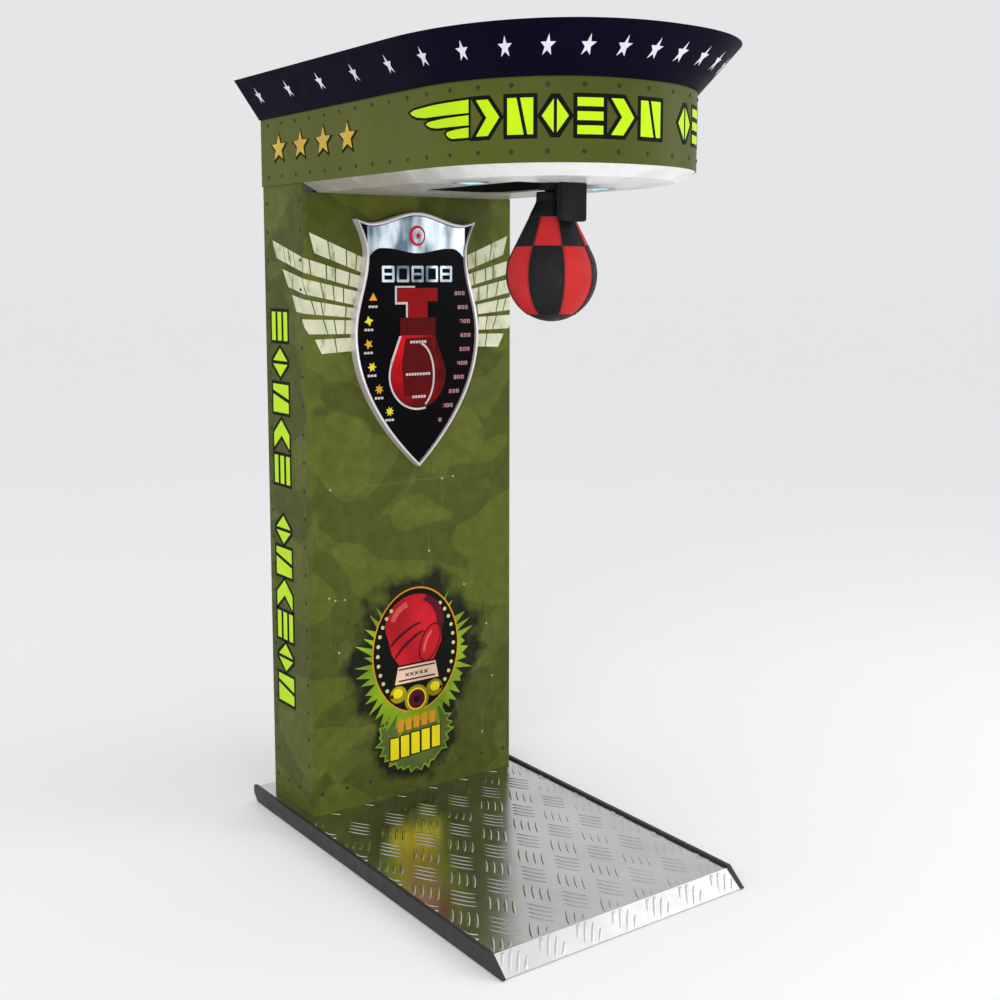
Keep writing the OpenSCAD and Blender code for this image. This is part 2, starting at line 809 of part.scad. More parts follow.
module visor() {
    wall = 4;
    color("#0d0d2b") band([at_height(plan(wall + 0.2, wall + 0.2, column_rear), fascia_top - visor_lap),
        at_height(plan(visor_side, visor_nose, column_rear), visor_top),
        at_height(plan(visor_side - wall, visor_nose - wall, column_rear), visor_top),
        at_height(plan(0.2, 0.2, column_rear), fascia_top - visor_lap)]);
}

module fascia_rivets() {
    outline = plan(0, 0, column_rear);
    far = lengths(outline);
    total = far[len(far) - 1];
    count = 35;
    color("#454c28") for (k = [0:count - 1], z = [canopy_z + 25, fascia_top - 25])
        let (spot = walk(outline, far, 46 + (total - 92) * k / (count - 1)))
            translate([spot[0].x, spot[0].y, z]) rotate([0, 90, spot[1]]) rivet();
}

module bag_recess() {
    wall = 2;
    color("#0c0c0c") translate([0, 0, ceiling_z + ceiling_t]) difference() {
        linear_extrude(recess_top + wall - ceiling_z - ceiling_t) bag_slot(wall);
        translate([0, 0, -1]) linear_extrude(recess_top - ceiling_z - ceiling_t + 1) bag_slot(0);
        for (s = [-1, 1]) translate([s * slot_half, bag_y, pivot_z - ceiling_z - ceiling_t]) rotate([0, 90, 0])
            translate([0, 0, -5]) cylinder(h = 10, r = shaft_r + 3);
    }
}

// Foam pad that the parked bag comes up against
module park_buffer() {
    parked_y = bag_y + bag_drop;
    color("#222222") block([-60, parked_y - 70, recess_top - 14], [60, parked_y + 70, recess_top]);
}

module downlight_bezels() {
    color("#8f9394") for (s = [-1, 1]) translate([s * light_x, light_y, ceiling_z]) difference() {
        union() {
            translate([0, 0, -3]) cylinder(h = 3, r1 = light_r + 6, r2 = light_r + 9);
            cylinder(h = 20, r = light_r + 3.5);
        }
        translate([0, 0, -4]) cylinder(h = 8, r = light_r);
        translate([0, 0, 3]) cylinder(h = 14, r = light_r + 1);
    }
}

module downlight_lenses() {
    color("#8fe3e6") for (s = [-1, 1]) translate([s * light_x, light_y, ceiling_z])
        cylinder(h = 3, r = light_r - 0.2);
}

// ---------- bag swing ----------

bracket_half = 53;
bracket_y = bag_y - 31;
block_y = bag_y - 82;
bar_h = 17;
cheek_t = 6;

// Cheeks beside the recess, hung from the beams and tied across in front
module pivot_bracket() {
    cheek_x = bearing_x - cheek_t - 6;
    deck = ceiling_z + ceiling_t;
    color("#191817") {
        both_sides() difference() {
            union() {
                block([cheek_x, bag_y - 50, deck], [cheek_x + cheek_t, bag_y + 50, beam_z]);
                block([cheek_x, bag_y - 50, beam_z - cheek_t], [beam_x - tube, bag_y + 50, beam_z]);
            }
            bar_x(bearing_x - 30, bearing_x + 10, bag_y, pivot_z, shaft_r + 2);
        }
        block([-cheek_x - cheek_t, bag_y - 50, deck], [cheek_x + cheek_t, bag_y - 38, deck + 8]);
    }
}

module pivot_bearings() {
    color("silver") both_sides() difference() {
        union() {
            bar_x(bearing_x - 6, bearing_x + 12, bag_y, pivot_z, 20);
            block([bearing_x - 6, bag_y - 32, pivot_z - 7], [bearing_x + 2, bag_y + 32, pivot_z + 7]);
        }
        bar_x(bearing_x - 7, bearing_x + 13, bag_y, pivot_z, shaft_r + running_gap);
        for (y = [-26, 26]) bar_x(bearing_x - 7, bearing_x + 3, bag_y + y, pivot_z, 3);
    }
}

module pivot_shaft() {
    color("#9a9a9a") bar_x(-bearing_x - 34, bearing_x + 34, bag_y, pivot_z, shaft_r);
}

arm_low = pivot_z - 58;

// Hub on the shaft, flat arm and the round cap that is laced into the bag's neck
module swing_arm() {
    color("#202020") {
        difference() {
            union() {
                bar_x(-24, 24, bag_y, pivot_z, shaft_r + 6);
                block([-20, bag_y - 5, arm_low], [20, bag_y + 5, pivot_z - shaft_r - 1]);
            }
            bar_x(-30, 30, bag_y, pivot_z, shaft_r);
        }
        translate([0, bag_y, arm_low - 6]) cylinder(h = 12, r = neck_r - 4);
    }
}

plate_r = 58;
pin_angle = 120;
pin_reach = 40;
plate_x = bearing_x + 22;

// Quarter plate with timing slots and the lock hole
module timing_plate() {
    color("#c0c0c0") translate([plate_x, bag_y, pivot_z]) rotate([90, 0, 90]) difference() {
        union() {
            linear_extrude(3) difference() {
                intersection() {
                    circle(plate_r);
                    rotate(5) square(plate_r);
                    rotate(-5) square(plate_r);
                }
                for (a = [14:8:78]) rotate(a) translate([plate_r - 11, -1]) square([8, 2]);
                rotate(pin_angle - swing_deg) translate([pin_reach, 0]) circle(5.5);
            }
            translate([0, 0, -2]) cylinder(h = 7, r = shaft_r + 8);
        }
        translate([0, 0, -5]) cylinder(h = 20, r = shaft_r);
    }
}

// Pear bag: round bottom, tangent cone and straight neck
module punch_bag() {
    centre = pivot_z - bag_drop;
    lean = 26.7;
    touch_z = centre + bag_r * sin(lean);
    touch_r = bag_r * cos(lean);
    neck_z = touch_z + (touch_r - neck_r) / tan(lean);
    pocket = arm_low - 6.3;
    color("#b5202a") translate([0, bag_y, 0]) difference() {
        rotate_extrude() polygon(concat(
            [[0, centre - bag_r]],
            [for (k = [1:16]) let (a = -90 + (90 + lean) * k / 16) [bag_r * cos(a), centre + bag_r * sin(a)]],
            [[neck_r, neck_z], [neck_r, pocket + 14], [0, pocket + 14]]));
        translate([0, 0, pocket]) cylinder(h = 20, r = neck_r - 3.7);
    }
}

// Bar bolted under the ceiling, with the block that stops the bag as it drops
module stop_block() {
    color("#121212") {
        block([-bracket_half, bracket_y - 30, ceiling_z - bar_h], [bracket_half, bracket_y + 22, ceiling_z]);
        block([-30, block_y + 12, ceiling_z - bar_h], [30, bracket_y - 29, ceiling_z]);
        facing(block_y + 13, 22) {
            round_rect([-40, ceiling_z - 96], [40, ceiling_z - 20], 8);
            translate([-40, ceiling_z - 60]) square([80, 60]);
        }
    }
}

module stop_buffer() {
    color("#2c2c2c") block([-22, block_y + 13, ceiling_z - 42], [22, bag_y - neck_r - 1, ceiling_z - bar_h]);
}

// Fork sensor that reads the timing slots
module speed_sensor() {
    z = pivot_z + plate_r - 8;
    color("#101820") difference() {
        block([plate_x - 8, bag_y + 4, z], [plate_x + 11, bag_y + 20, beam_z - cheek_t]);
        block([plate_x - 3, bag_y + 3, z - 1], [plate_x + 6, bag_y + 21, pivot_z + plate_r + 3]);
    }
}

pin_y = bag_y + pin_reach * cos(pin_angle);
pin_z = pivot_z + pin_reach * sin(pin_angle);

module solenoid() {
    color("#b87333") difference() {
        union() {
            bar_x(plate_x + 20, plate_x + 62, pin_y, pin_z, 15);
            block([plate_x + 17, pin_y - 18, pin_z - 18], [plate_x + 20, pin_y + 18, beam_z - cheek_t]);
        }
        bar_x(plate_x + 10, plate_x + 56, pin_y, pin_z, 5 + running_gap);
    }
}

// Pin that the solenoid holds back while the bag hangs
module lock_pin() {
    color("silver") bar_x(plate_x + 7, plate_x + 42, pin_y, pin_z, 5);
}

base_frame();
tread_plate();
front_ramp();
side_rail_left();
side_rail_right();
levelling_feet();
wheel_brackets();
transport_wheel_left();
transport_wheel_right();
column_frame();
front_panel();
left_side_panel();
right_side_panel();
back_panel_lower();
back_panel_upper();
column_rivets();
service_door();
service_door_hinges();
service_lock();
coin_door_frame();
coin_door();
coin_door_lock();
coin_validator();
coin_reject_button();
coin_return_cup();
coin_return_flap();
cash_box();
mains_inlet();
power_switch();
power_supply();
control_board();
speaker();
shield_housing();
shield_frame();
display_panel();
display_top_plate();
bag_lamp_lens();
score_lamps();
rank_lamps();
head_frame();
head_fascia();
head_ceiling();
head_top_cover();
visor();
fascia_rivets();
bag_recess();
park_buffer();
downlight_bezels();
downlight_lenses();
pivot_bracket();
pivot_bearings();
pivot_shaft();
swing_arm();
timing_plate();
punch_bag();
stop_block();
stop_buffer();
speed_sensor();
solenoid();
lock_pin();
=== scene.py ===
import json
import random
from itertools import accumulate
from math import atan2, cos, degrees, pi, radians, sin, tan

import bmesh
import bpy
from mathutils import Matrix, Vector
from mathutils.geometry import tessellate_polygon

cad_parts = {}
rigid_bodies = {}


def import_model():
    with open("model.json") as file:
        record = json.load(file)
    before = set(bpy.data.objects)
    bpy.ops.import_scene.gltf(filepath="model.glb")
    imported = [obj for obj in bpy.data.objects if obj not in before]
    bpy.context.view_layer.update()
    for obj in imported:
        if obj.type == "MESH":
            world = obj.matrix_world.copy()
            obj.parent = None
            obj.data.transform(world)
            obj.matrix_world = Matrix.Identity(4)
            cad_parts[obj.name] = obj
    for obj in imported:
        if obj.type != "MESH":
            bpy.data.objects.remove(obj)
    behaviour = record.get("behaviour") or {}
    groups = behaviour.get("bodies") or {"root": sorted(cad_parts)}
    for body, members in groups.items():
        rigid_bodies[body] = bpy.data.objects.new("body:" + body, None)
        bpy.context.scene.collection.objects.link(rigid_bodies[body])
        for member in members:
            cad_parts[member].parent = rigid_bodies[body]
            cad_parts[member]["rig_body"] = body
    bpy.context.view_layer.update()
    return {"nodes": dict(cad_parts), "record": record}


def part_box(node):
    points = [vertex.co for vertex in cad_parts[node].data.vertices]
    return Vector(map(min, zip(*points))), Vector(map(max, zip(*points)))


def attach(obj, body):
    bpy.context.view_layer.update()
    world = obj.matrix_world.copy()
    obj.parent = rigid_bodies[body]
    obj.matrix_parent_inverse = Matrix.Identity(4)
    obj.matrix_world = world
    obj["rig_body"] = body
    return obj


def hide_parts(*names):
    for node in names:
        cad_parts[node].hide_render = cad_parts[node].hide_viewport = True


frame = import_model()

# The boxing punch machine's visual model: looks, prints, trims and the leather bag on the CAD pieces.

# ---------- places from the frame, and sizes that repeat the CAD model's ----------

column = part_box("front_panel")
SIDE_X = column[1].x
FRONT_Y = column[0].y
REAR_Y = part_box("left_side_panel")[1].y
TREAD_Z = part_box("tread_plate")[1].z
PLATFORM_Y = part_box("tread_plate")[0].y
RAIL_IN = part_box("tread_plate")[1].x
CORNER_R = 0.008

fascia_low, fascia_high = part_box("head_fascia")
HEAD_X = fascia_high.x
CANOPY_Z = fascia_low.z
FASCIA_TOP = fascia_high.z
NOSE_L = 0.435
NOSE_POWER = 2.24
STRAIGHT_Y = fascia_low.y + NOSE_L
SHEET = 0.003

visor_low, visor_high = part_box("visor")
VISOR_SIDE = visor_high.x - HEAD_X
VISOR_NOSE = fascia_low.y - visor_low.y
CEILING_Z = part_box("head_ceiling")[0].z
CEILING_THICK = 0.004
RIM_W = 0.050

shield_low, shield_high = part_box("shield_frame")
FACE_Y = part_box("display_panel")[0].y

bag_low, bag_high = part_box("punch_bag")
BAG_Y = (bag_low.y + bag_high.y) / 2
BAG_R = bag_high.x
BAG_Z = bag_low.z + BAG_R


# ---------- shader helpers ----------

class Graph:
    """A new material and short calls that add shader nodes to it."""

    def __init__(self, name, **sockets):
        self.material = bpy.data.materials.new(name)
        self.material.use_nodes = True
        self.tree = self.material.node_tree
        self.shader = self.tree.nodes["Principled BSDF"]
        for key, value in sockets.items():
            self.put(self.shader.inputs[key.replace("_", " ")], value)

    def put(self, socket, value):
        """Links an output to the socket, or sets the socket to a plain value."""
        if isinstance(value, bpy.types.NodeSocket):
            self.tree.links.new(value, socket)
        elif hasattr(value, "__len__") and socket.type == "RGBA":
            socket.default_value = (*value, 1.0)
        else:
            socket.default_value = value

    def add(self, kind, inputs=None, **settings):
        made = self.tree.nodes.new("ShaderNode" + kind)
        for key, value in settings.items():
            setattr(made, key, value)
        for key, value in (inputs or {}).items():
            self.put(made.inputs[key], value)
        return made

    def where(self, stretch=(1, 1, 1)):
        """The piece's own coordinates in metres, stretched."""
        coords = self.add("TexCoord").outputs["Object"]
        made = self.add("Mapping", {"Vector": coords, "Scale": stretch})
        return made.outputs["Vector"]

    def noise(self, scale, detail=3.0, stretch=(1, 1, 1), swirl=0.0):
        inputs = {"Vector": self.where(stretch), "Scale": scale, "Detail": detail, "Distortion": swirl}
        return self.add("TexNoise", inputs).outputs["Fac"]

    def drift(self, scale, detail=3.0, to_low=0.0, to_high=1.0, stretch=(1, 1, 1)):
        """Noise spread over to_low..to_high."""
        return self.span(self.noise(scale, detail, stretch), 0.3, 0.7, to_low, to_high)

    def place(self, axis):
        """One of the piece's own coordinates, X, Y or Z."""
        return self.add("SeparateXYZ", {0: self.where()}).outputs[axis]

    def reach(self, centre, radii):
        """Distance from a centre, counted so that 1 is the edge of an ellipsoid with those radii."""
        coords = self.add("TexCoord").outputs["Object"]
        inputs = {"Vector": coords, "Location": centre, "Scale": radii}
        made = self.add("Mapping", inputs, vector_type="TEXTURE")
        return self.add("VectorMath", {0: made.outputs["Vector"]}, operation="LENGTH").outputs["Value"]

    def cells(self, scale):
        return self.add("TexVoronoi", {"Vector": self.where(), "Scale": scale}).outputs["Distance"]

    def span(self, value, low, high, to_low=0.0, to_high=1.0):
        """Maps low..high to to_low..to_high, held at both ends."""
        inputs = {"Value": value, "From Min": low, "From Max": high, "To Min": to_low, "To Max": to_high}
        return self.add("MapRange", inputs).outputs["Result"]

    def mix(self, factor, first, second, blend="MIX"):
        made = self.add("Mix", data_type="RGBA", blend_type=blend)
        for number, value in ((0, factor), (6, first), (7, second)):
            self.put(made.inputs[number], value)
        return made.outputs[2]

    def combine(self, operation, first, second):
        made = self.add("Math", operation=operation)
        self.put(made.inputs[0], first)
        self.put(made.inputs[1], second)
        return made.outputs[0]

    def colour(self, value):
        self.put(self.shader.inputs["Base Color"], value)

    def rough(self, value):
        self.put(self.shader.inputs["Roughness"], value)

    def bump(self, height, distance, strength=1.0):
        made = self.add("Bump", {"Height": height, "Distance": distance, "Strength": strength})
        self.put(self.shader.inputs["Normal"], made.outputs["Normal"])


def shade(colour, factor):
    return tuple(min(1.0, c * factor) for c in colour)


def worn(name, colour, rough, vary=0.14, grain=350.0, depth=0.00004, stretch=(1, 1, 1), gloss=0.3,
         **sockets):
    """A finish with slow colour drift, uneven gloss and a fine grain."""
    g = Graph(name, Specular_IOR_Level=gloss, **sockets)
    g.colour(g.mix(g.drift(7.0, 5.0), shade(colour, 1 - vary), shade(colour, 1 + vary)))
    g.rough(g.drift(23.0, 4.0, rough * 0.85, min(1.0, rough * 1.2), stretch))
    g.bump(g.noise(grain, 2.0, stretch), depth)
    return g.material


# ---------- materials ----------

OLIVE = (0.094, 0.110, 0.013)
OLIVE_DARK = (0.044, 0.053, 0.008)
OLIVE_LIGHT = (0.128, 0.146, 0.028)
LIME = (0.52, 0.80, 0.006)
GOLD = (0.66, 0.43, 0.04)
CREAM = (0.67, 0.68, 0.48)
INK = (0.005, 0.006, 0.004)


def camouflage():
    """Winding patches of three olives under fine grime, with a soft dark halo behind the badge.

    The halo is no deeper than the sheet, so that only the panel's front shows it."""
    g = Graph("camouflage", Specular_IOR_Level=0.12)
    dark = g.span(g.noise(2.3, 0.6, (1.0, 1.0, 1.4), 1.1), 0.500, 0.508)
    light = g.span(g.noise(3.2, 0.6, (1.2, 1.2, 1.0), 1.4), 0.575, 0.583)
    base = g.mix(g.combine("MULTIPLY", dark, 0.50), OLIVE, OLIVE_DARK)
    base = g.mix(g.combine("MULTIPLY", light, 0.34), base, OLIVE_LIGHT)
    grime = g.drift(30.0, 9.0, 0.84, 1.14)
    base = g.mix(1.0, base, grime, "MULTIPLY")
    scuff = g.span(g.noise(19.0, 12.0, (1, 1, 0.3)), 0.64, 0.78, 0.0, 0.3)
    base = g.mix(scuff, base, shade(OLIVE_LIGHT, 1.4))
    ragged = g.drift(16.0, 5.0, -0.16, 0.16)
    for x, z, half_wide, half_tall in ((0, 0.470, 0.245, 0.268), (-0.004, 0.225, 0.165, 0.146)):
        far = g.reach((x, FRONT_Y, z), (half_wide, 0.8 * SHEET, half_tall))
        edge = g.combine("ADD", far, ragged)
        base = g.mix(g.span(edge, 0.84, 1.08, 0.93, 0.0), base, INK)
    g.colour(base)
    g.rough(g.drift(12.0, 5.0, 0.4, 0.56))
    g.bump(g.noise(500.0), 0.00003)
    return g.material


def canopy_paint():
    """Plain olive with dark specks, and painted shade that darkens it round the canopy's nose."""
    g = Graph("canopy_paint", Specular_IOR_Level=0.12)
    drift = g.span(g.noise(5.0, 4.0), 0.35, 0.65)
    base = g.mix(drift, shade(OLIVE, 0.94), shade(OLIVE, 1.06))
    # painted shade: the olive is mixed towards dark olive round the nose, in place of less light falling
    # there
    base = g.mix(g.span(g.place("Y"), -0.60, -0.25, 0.45, 0.0), base, OLIVE_DARK)
    speck = g.span(g.noise(90.0, 6.0), 0.6, 0.8, 0.0, 0.22)
    g.colour(g.mix(speck, base, OLIVE_DARK))
    g.rough(g.drift(14.0, 3.0, 0.36, 0.5))
    g.bump(g.noise(500.0), 0.00003)
    return g.material


def tread_metal(name, tone, rough):
    """Rolled aluminium with fine scratches in both directions."""
    g = Graph(name, Metallic=1.0)
    g.colour(g.mix(g.drift(6.0, 6.0), shade(tone, 0.86), tone))
    streaks = g.noise(40.0, 6.0, (1.0, 14.0, 1.0))
    cross = g.noise(40.0, 6.0, (14.0, 1.0, 1.0))
    both = g.combine("ADD", streaks, cross)
    g.rough(g.span(both, 0.7, 1.3, rough * 0.7, rough * 1.35))
    g.bump(both, 0.00005)
    return g.material


def leather(name, colour):
    """Small pebbles with creases, rubbed paler in places."""
    g = Graph(name, Specular_IOR_Level=0.16)
    pebbles = g.cells(520.0)
    crease = g.noise(60.0, 8.0)
    base = g.mix(g.drift(9.0, 5.0), shade(colour, 0.82), shade(colour, 1.15))
    rub = g.span(g.noise(140.0, 8.0), 0.62, 0.8, 0.0, 0.18)
    g.colour(g.mix(rub, base, shade(colour, 1.8)))
    g.rough(g.span(crease, 0.3, 0.7, 0.4, 0.62))
    g.bump(g.combine("ADD", g.combine("MULTIPLY", pebbles, 0.6), crease), 0.00035, 0.7)
    return g.material


def feather_print():
    """Pale feather print, rubbed through to the olive in places."""
    g = Graph("feather_print", Specular_IOR_Level=0.12)
    pale = g.mix(g.drift(14.0, 5.0), shade(CREAM, 0.8), shade(CREAM, 1.12))
    worn_through = g.span(g.noise(42.0, 9.0, (1, 1, 0.4)), 0.57, 0.68, 0.0, 0.6)
    g.colour(g.mix(worn_through, pale, shade(OLIVE_LIGHT, 1.2)))
    g.rough(0.5)
    g.bump(g.noise(300.0), 0.00003)
    return g.material


def ceiling_coat():
    """Mottled white laminate at the nose, with painted shade that turns it a darker beige towards the
    column.
    """
    g = Graph("ceiling_coat", Specular_IOR_Level=0.4)
    cloud = g.span(g.noise(11.0, 9.0), 0.35, 0.65)
    # painted shade: the laminate darkens from white at the nose to beige towards the column, and noise
    # mottles where it changes
    shade_and_mottle = g.combine("ADD", g.span(g.place("Y"), -0.42, -0.02), g.span(cloud, 0.0, 1.0, -0.3, 0.3))
    white = g.mix(cloud, (0.80, 0.80, 0.80), (0.90, 0.90, 0.89))
    beige = g.mix(cloud, (0.25, 0.23, 0.19), (0.42, 0.39, 0.34))
    g.colour(g.mix(g.span(shade_and_mottle, 0.0, 1.0), white, beige))
    g.rough(g.span(cloud, 0.0, 1.0, 0.25, 0.4))
    g.bump(g.noise(260.0, 4.0), 0.00004)
    return g.material


def lamp(name, colour, glow, strength):
    """Backlit plastic: a coloured face that gives a little uneven light of its own."""
    g = Graph(name, Roughness=0.25, Emission_Strength=strength, Specular_IOR_Level=0.08)
    cloud = g.drift(24.0)
    g.colour(g.mix(cloud, shade(colour, 0.75), colour))
    g.put(g.shader.inputs["Emission Color"], g.mix(cloud, shade(glow, 0.7), glow))
    g.bump(g.noise(400.0), 0.00002)
    return g.material


def picture_lens(name, lit, shaded):
    """Red backlit plastic that fades to a darker red at the right and towards the bottom."""
    g = Graph(name, Roughness=0.3, Specular_IOR_Level=0.08, Emission_Strength=0.15)
    right = g.span(g.place("X"), -0.04, 0.075)
    low = g.span(g.place("Z"), 1.42, 1.24)
    cloud = g.drift(18.0, 3.0, -0.15, 0.15)
    fade = g.span(g.combine("ADD", g.combine("MAXIMUM", right, low), cloud), 0.0, 1.0)
    tone = g.mix(fade, lit, shaded)
    g.colour(tone)
    g.put(g.shader.inputs["Emission Color"], tone)
    g.bump(g.noise(400.0), 0.00002)
    return g.material


def silver_print():
    """Silver-blue print that brightens in soft bands, as polished sheet does."""
    g = Graph("silver_print", Metallic=0.55)
    bands = g.span(g.noise(9.0, 2.0, (2.2, 1.0, 0.8)), 0.38, 0.62)
    g.colour(g.mix(bands, (0.10, 0.17, 0.23), (0.76, 0.87, 0.95)))
    g.rough(g.span(bands, 0.0, 1.0, 0.35, 0.22))
    g.bump(g.noise(300.0), 0.00002)
    return g.material


# Colour and roughness of each plain finish, and what it sets otherwise in worn()
PLAIN_FINISHES = {
    "rivet": ((0.020, 0.024, 0.010), 0.42, {}),
    "navy": ((0.0030, 0.0028, 0.0110), 0.42, dict(gloss=0.02)),
    "star_white": ((0.72, 0.72, 0.78), 0.35, dict(vary=0.08)),
    "black_coat": ((0.007, 0.007, 0.008), 0.42, dict(grain=700.0, gloss=0.14)),
    "rail_coat": ((0.026, 0.027, 0.025), 0.45, dict(grain=700.0)),
    "black_print": (INK, 0.5, dict(gloss=0.06)),
    "primer": ((0.05, 0.055, 0.05), 0.55, {}),
    "steel": ((0.52, 0.52, 0.53), 0.32, dict(stretch=(1, 1, 12), Metallic=1.0)),
    "chrome": ((0.78, 0.78, 0.79), 0.12, dict(vary=0.04, Metallic=1.0)),
    "silver_rim": ((0.74, 0.69, 0.71), 0.34, dict(vary=0.06, Metallic=0.4)),
    "gloss_black": ((0.0015, 0.0015, 0.0025), 0.22, dict(gloss=0.05)),
    "liner": ((0.008, 0.008, 0.008), 0.7, dict(grain=260.0, depth=0.0002, gloss=0.1)),
    "foam": ((0.014, 0.014, 0.014), 0.92, dict(grain=900.0, depth=0.0004, gloss=0.1)),
    "bezel": ((0.42, 0.44, 0.45), 0.3, dict(Metallic=0.8)),
    "thread": ((0.03, 0.012, 0.014), 0.7, dict(grain=2500.0, depth=0.0002)),
    "rubber": ((0.009, 0.009, 0.009), 0.6, dict(gloss=0.14)),
    "board": ((0.02, 0.18, 0.06), 0.4, {}),
    "blue_plastic": ((0.05, 0.12, 0.28), 0.45, {}),
    "red_plastic": ((0.55, 0.015, 0.02), 0.3, {}),
    "copper": ((0.62, 0.30, 0.13), 0.35, dict(Metallic=1.0)),
    "lime": (LIME, 0.38, dict(vary=0.06, gloss=0.12)),
    "gold": (GOLD, 0.34, dict(vary=0.2, Metallic=0.35)),
    "trace": ((0.13, 0.165, 0.055), 0.45, dict(gloss=0.1)),
    "trace_dot": ((0.26, 0.47, 0.25), 0.4, dict(gloss=0.1)),
}

# Colour, roughness and unevenness of each dull print
PRINTS = {
    "lime_dark": ((0.20, 0.34, 0.012), 0.42, 0.45),
    "splash_olive": ((0.085, 0.125, 0.025), 0.45, 0.3),
    "yellow": ((0.74, 0.62, 0.008), 0.4, 0.14),
    "mustard": ((0.30, 0.25, 0.010), 0.4, 0.4),
    "orange": ((0.62, 0.26, 0.012), 0.4, 0.15),
    "badge_red": ((0.50, 0.010, 0.016), 0.4, 0.35),
    "badge_pink": ((0.68, 0.09, 0.08), 0.4, 0.2),
    "badge_maroon": ((0.085, 0.004, 0.012), 0.45, 0.4),
    "bone": ((0.72, 0.50, 0.36), 0.45, 0.2),
    "stud": ((0.58, 0.56, 0.22), 0.4, 0.15),
}

MATERIALS = {
    "camouflage": camouflage(),
    "canopy_paint": canopy_paint(),
    "tread": tread_metal("tread", (0.62, 0.62, 0.61), 0.2),
    # painted light: the ramp's aluminium is a paler copy of the tread's, because the ramp faces the light
    "ramp": tread_metal("ramp", (0.74, 0.74, 0.74), 0.38),
    "silver_print": silver_print(),
    "red_lit": picture_lens("red_lit", (0.50, 0.004, 0.008), (0.06, 0.001, 0.002)),
    "red_dark": lamp("red_dark", (0.085, 0.002, 0.003), (0.22, 0.002, 0.003), 0.1),
    "red_mid": lamp("red_mid", (0.24, 0.003, 0.005), (0.45, 0.003, 0.005), 0.1),
    "amber_lit": lamp("amber_lit", (0.70, 0.34, 0.02), (0.9, 0.45, 0.03), 0.12),
    "yellow_lit": lamp("yellow_lit", (0.72, 0.60, 0.04), (0.9, 0.7, 0.05), 0.12),
    "white_print": lamp("white_print", (0.56, 0.53, 0.53), (0.6, 0.58, 0.58), 0.08),
    "ceiling": ceiling_coat(),
    "light_lens": lamp("light_lens", (0.25, 0.70, 0.78), (0.30, 0.85, 0.95), 1.3),
    "red_leather": leather("red_leather", (0.53, 0.021, 0.021)),
    "black_leather": leather("black_leather", (0.009, 0.009, 0.011)),
    "feather": feather_print(),
}
for name, (colour, rough, settings) in PLAIN_FINISHES.items():
    MATERIALS[name] = worn(name, colour, rough, **settings)
for name, (colour, rough, vary) in PRINTS.items():
    MATERIALS[name] = worn(name, colour, rough, vary=vary, gloss=0.1)

# Looks of the CAD pieces by their material slot. A slot that isn't listed has a look of its own name.
SLOT_LOOKS = {
    "olive_panel": "camouflage", "olive_canopy": "canopy_paint", "olive_rear": "canopy_paint",
    "navy_visor": "navy", "black_steel": "black_coat", "frame_steel": "primer",
    "tread_alu": "tread", "ramp_alu": "ramp", "lock_chrome": "chrome",
    "display_black": "gloss_black", "display_silver": "silver_print",
    "red_lens": "red_lit", "score_print": "white_print", "rank_print": "amber_lit",
    "ceiling_white": "ceiling", "liner_black": "liner", "foam_black": "foam",
    "bezel_grey": "bezel", "light_glass": "light_lens", "bag_leather": "black_leather",
    "rubber_black": "rubber", "board_green": "board", "red_button": "red_plastic",
}
NODE_SLOTS = {part["node"]: part["material_slot"] for part in frame["record"]["subparts"]}
NODE_LOOKS = {"column_rivets": "rivet", "fascia_rivets": "rivet",
              "side_rail_left": "rail_coat", "side_rail_right": "rail_coat"}


def look_of(node):
    slot = NODE_SLOTS[node]
    return NODE_LOOKS.get(node) or SLOT_LOOKS.get(slot, slot)


for node, piece in frame["nodes"].items():
    piece.data.materials.clear()
    piece.data.materials.append(MATERIALS[look_of(node)])


# ---------- mesh helpers ----------

SMOOTH_TO = radians(32)    # edges that fold less than this are shaded smooth
ROUND_FROM = radians(34)   # edges that fold more than this are rounded off
FLAT_TO = radians(0.4)     # faces that fold less than this are joined first


def body_of(node):
    return frame["nodes"][node]["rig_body"]


def new_piece(name, mesh, look, body="cabinet", smooth=False):
    """Turns a bmesh into a piece that rides on a body."""
    bmesh.ops.recalc_face_normals(mesh, faces=mesh.faces)
    data = bpy.data.meshes.new(name)
    if smooth:
        for face in mesh.faces:
            face.smooth = True
        for edge in mesh.edges:
            edge.smooth = edge.is_manifold and edge.calc_face_angle(0.0) < SMOOTH_TO
    mesh.to_mesh(data)
    mesh.free()
    piece = bpy.data.objects.new(name, data)
    bpy.context.scene.collection.objects.link(piece)
    for item in ([look] if isinstance(look, str) else look):
        data.materials.append(MATERIALS[item])
    if smooth:
        piece.modifiers.new("flat_faces", "WEIGHTED_NORMAL").keep_sharp = True
    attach(piece, body)
    return piece


def stand_for(piece, *nodes):
    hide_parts(*nodes)
    return piece


def refined(node, round_off):
    """A copy of a CAD node with its edges rounded and its curves smooth."""
    mesh = bmesh.new()
    mesh.from_mesh(frame["nodes"][node].data)
    bmesh.ops.remove_doubles(mesh, verts=mesh.verts, dist=1e-6)
    bmesh.ops.dissolve_limit(mesh, angle_limit=FLAT_TO, verts=mesh.verts, edges=mesh.edges)
    sharp = [e for e in mesh.edges if e.is_manifold and e.calc_face_angle() > ROUND_FROM]
    bmesh.ops.bevel(mesh, geom=sharp, offset=round_off, segments=2, profile=0.6, affect="EDGES",
                    clamp_overlap=True)
    look = look_of(node)
    return stand_for(new_piece(node + "_finished", mesh, look, body_of(node), smooth=True), node)


def bridge(mesh, first, second):
    """A closed strip of faces between two rings of vertices."""
    for k in range(len(first)):
        n = (k + 1) % len(first)
        mesh.faces.new([first[k], first[n], second[n], second[k]])


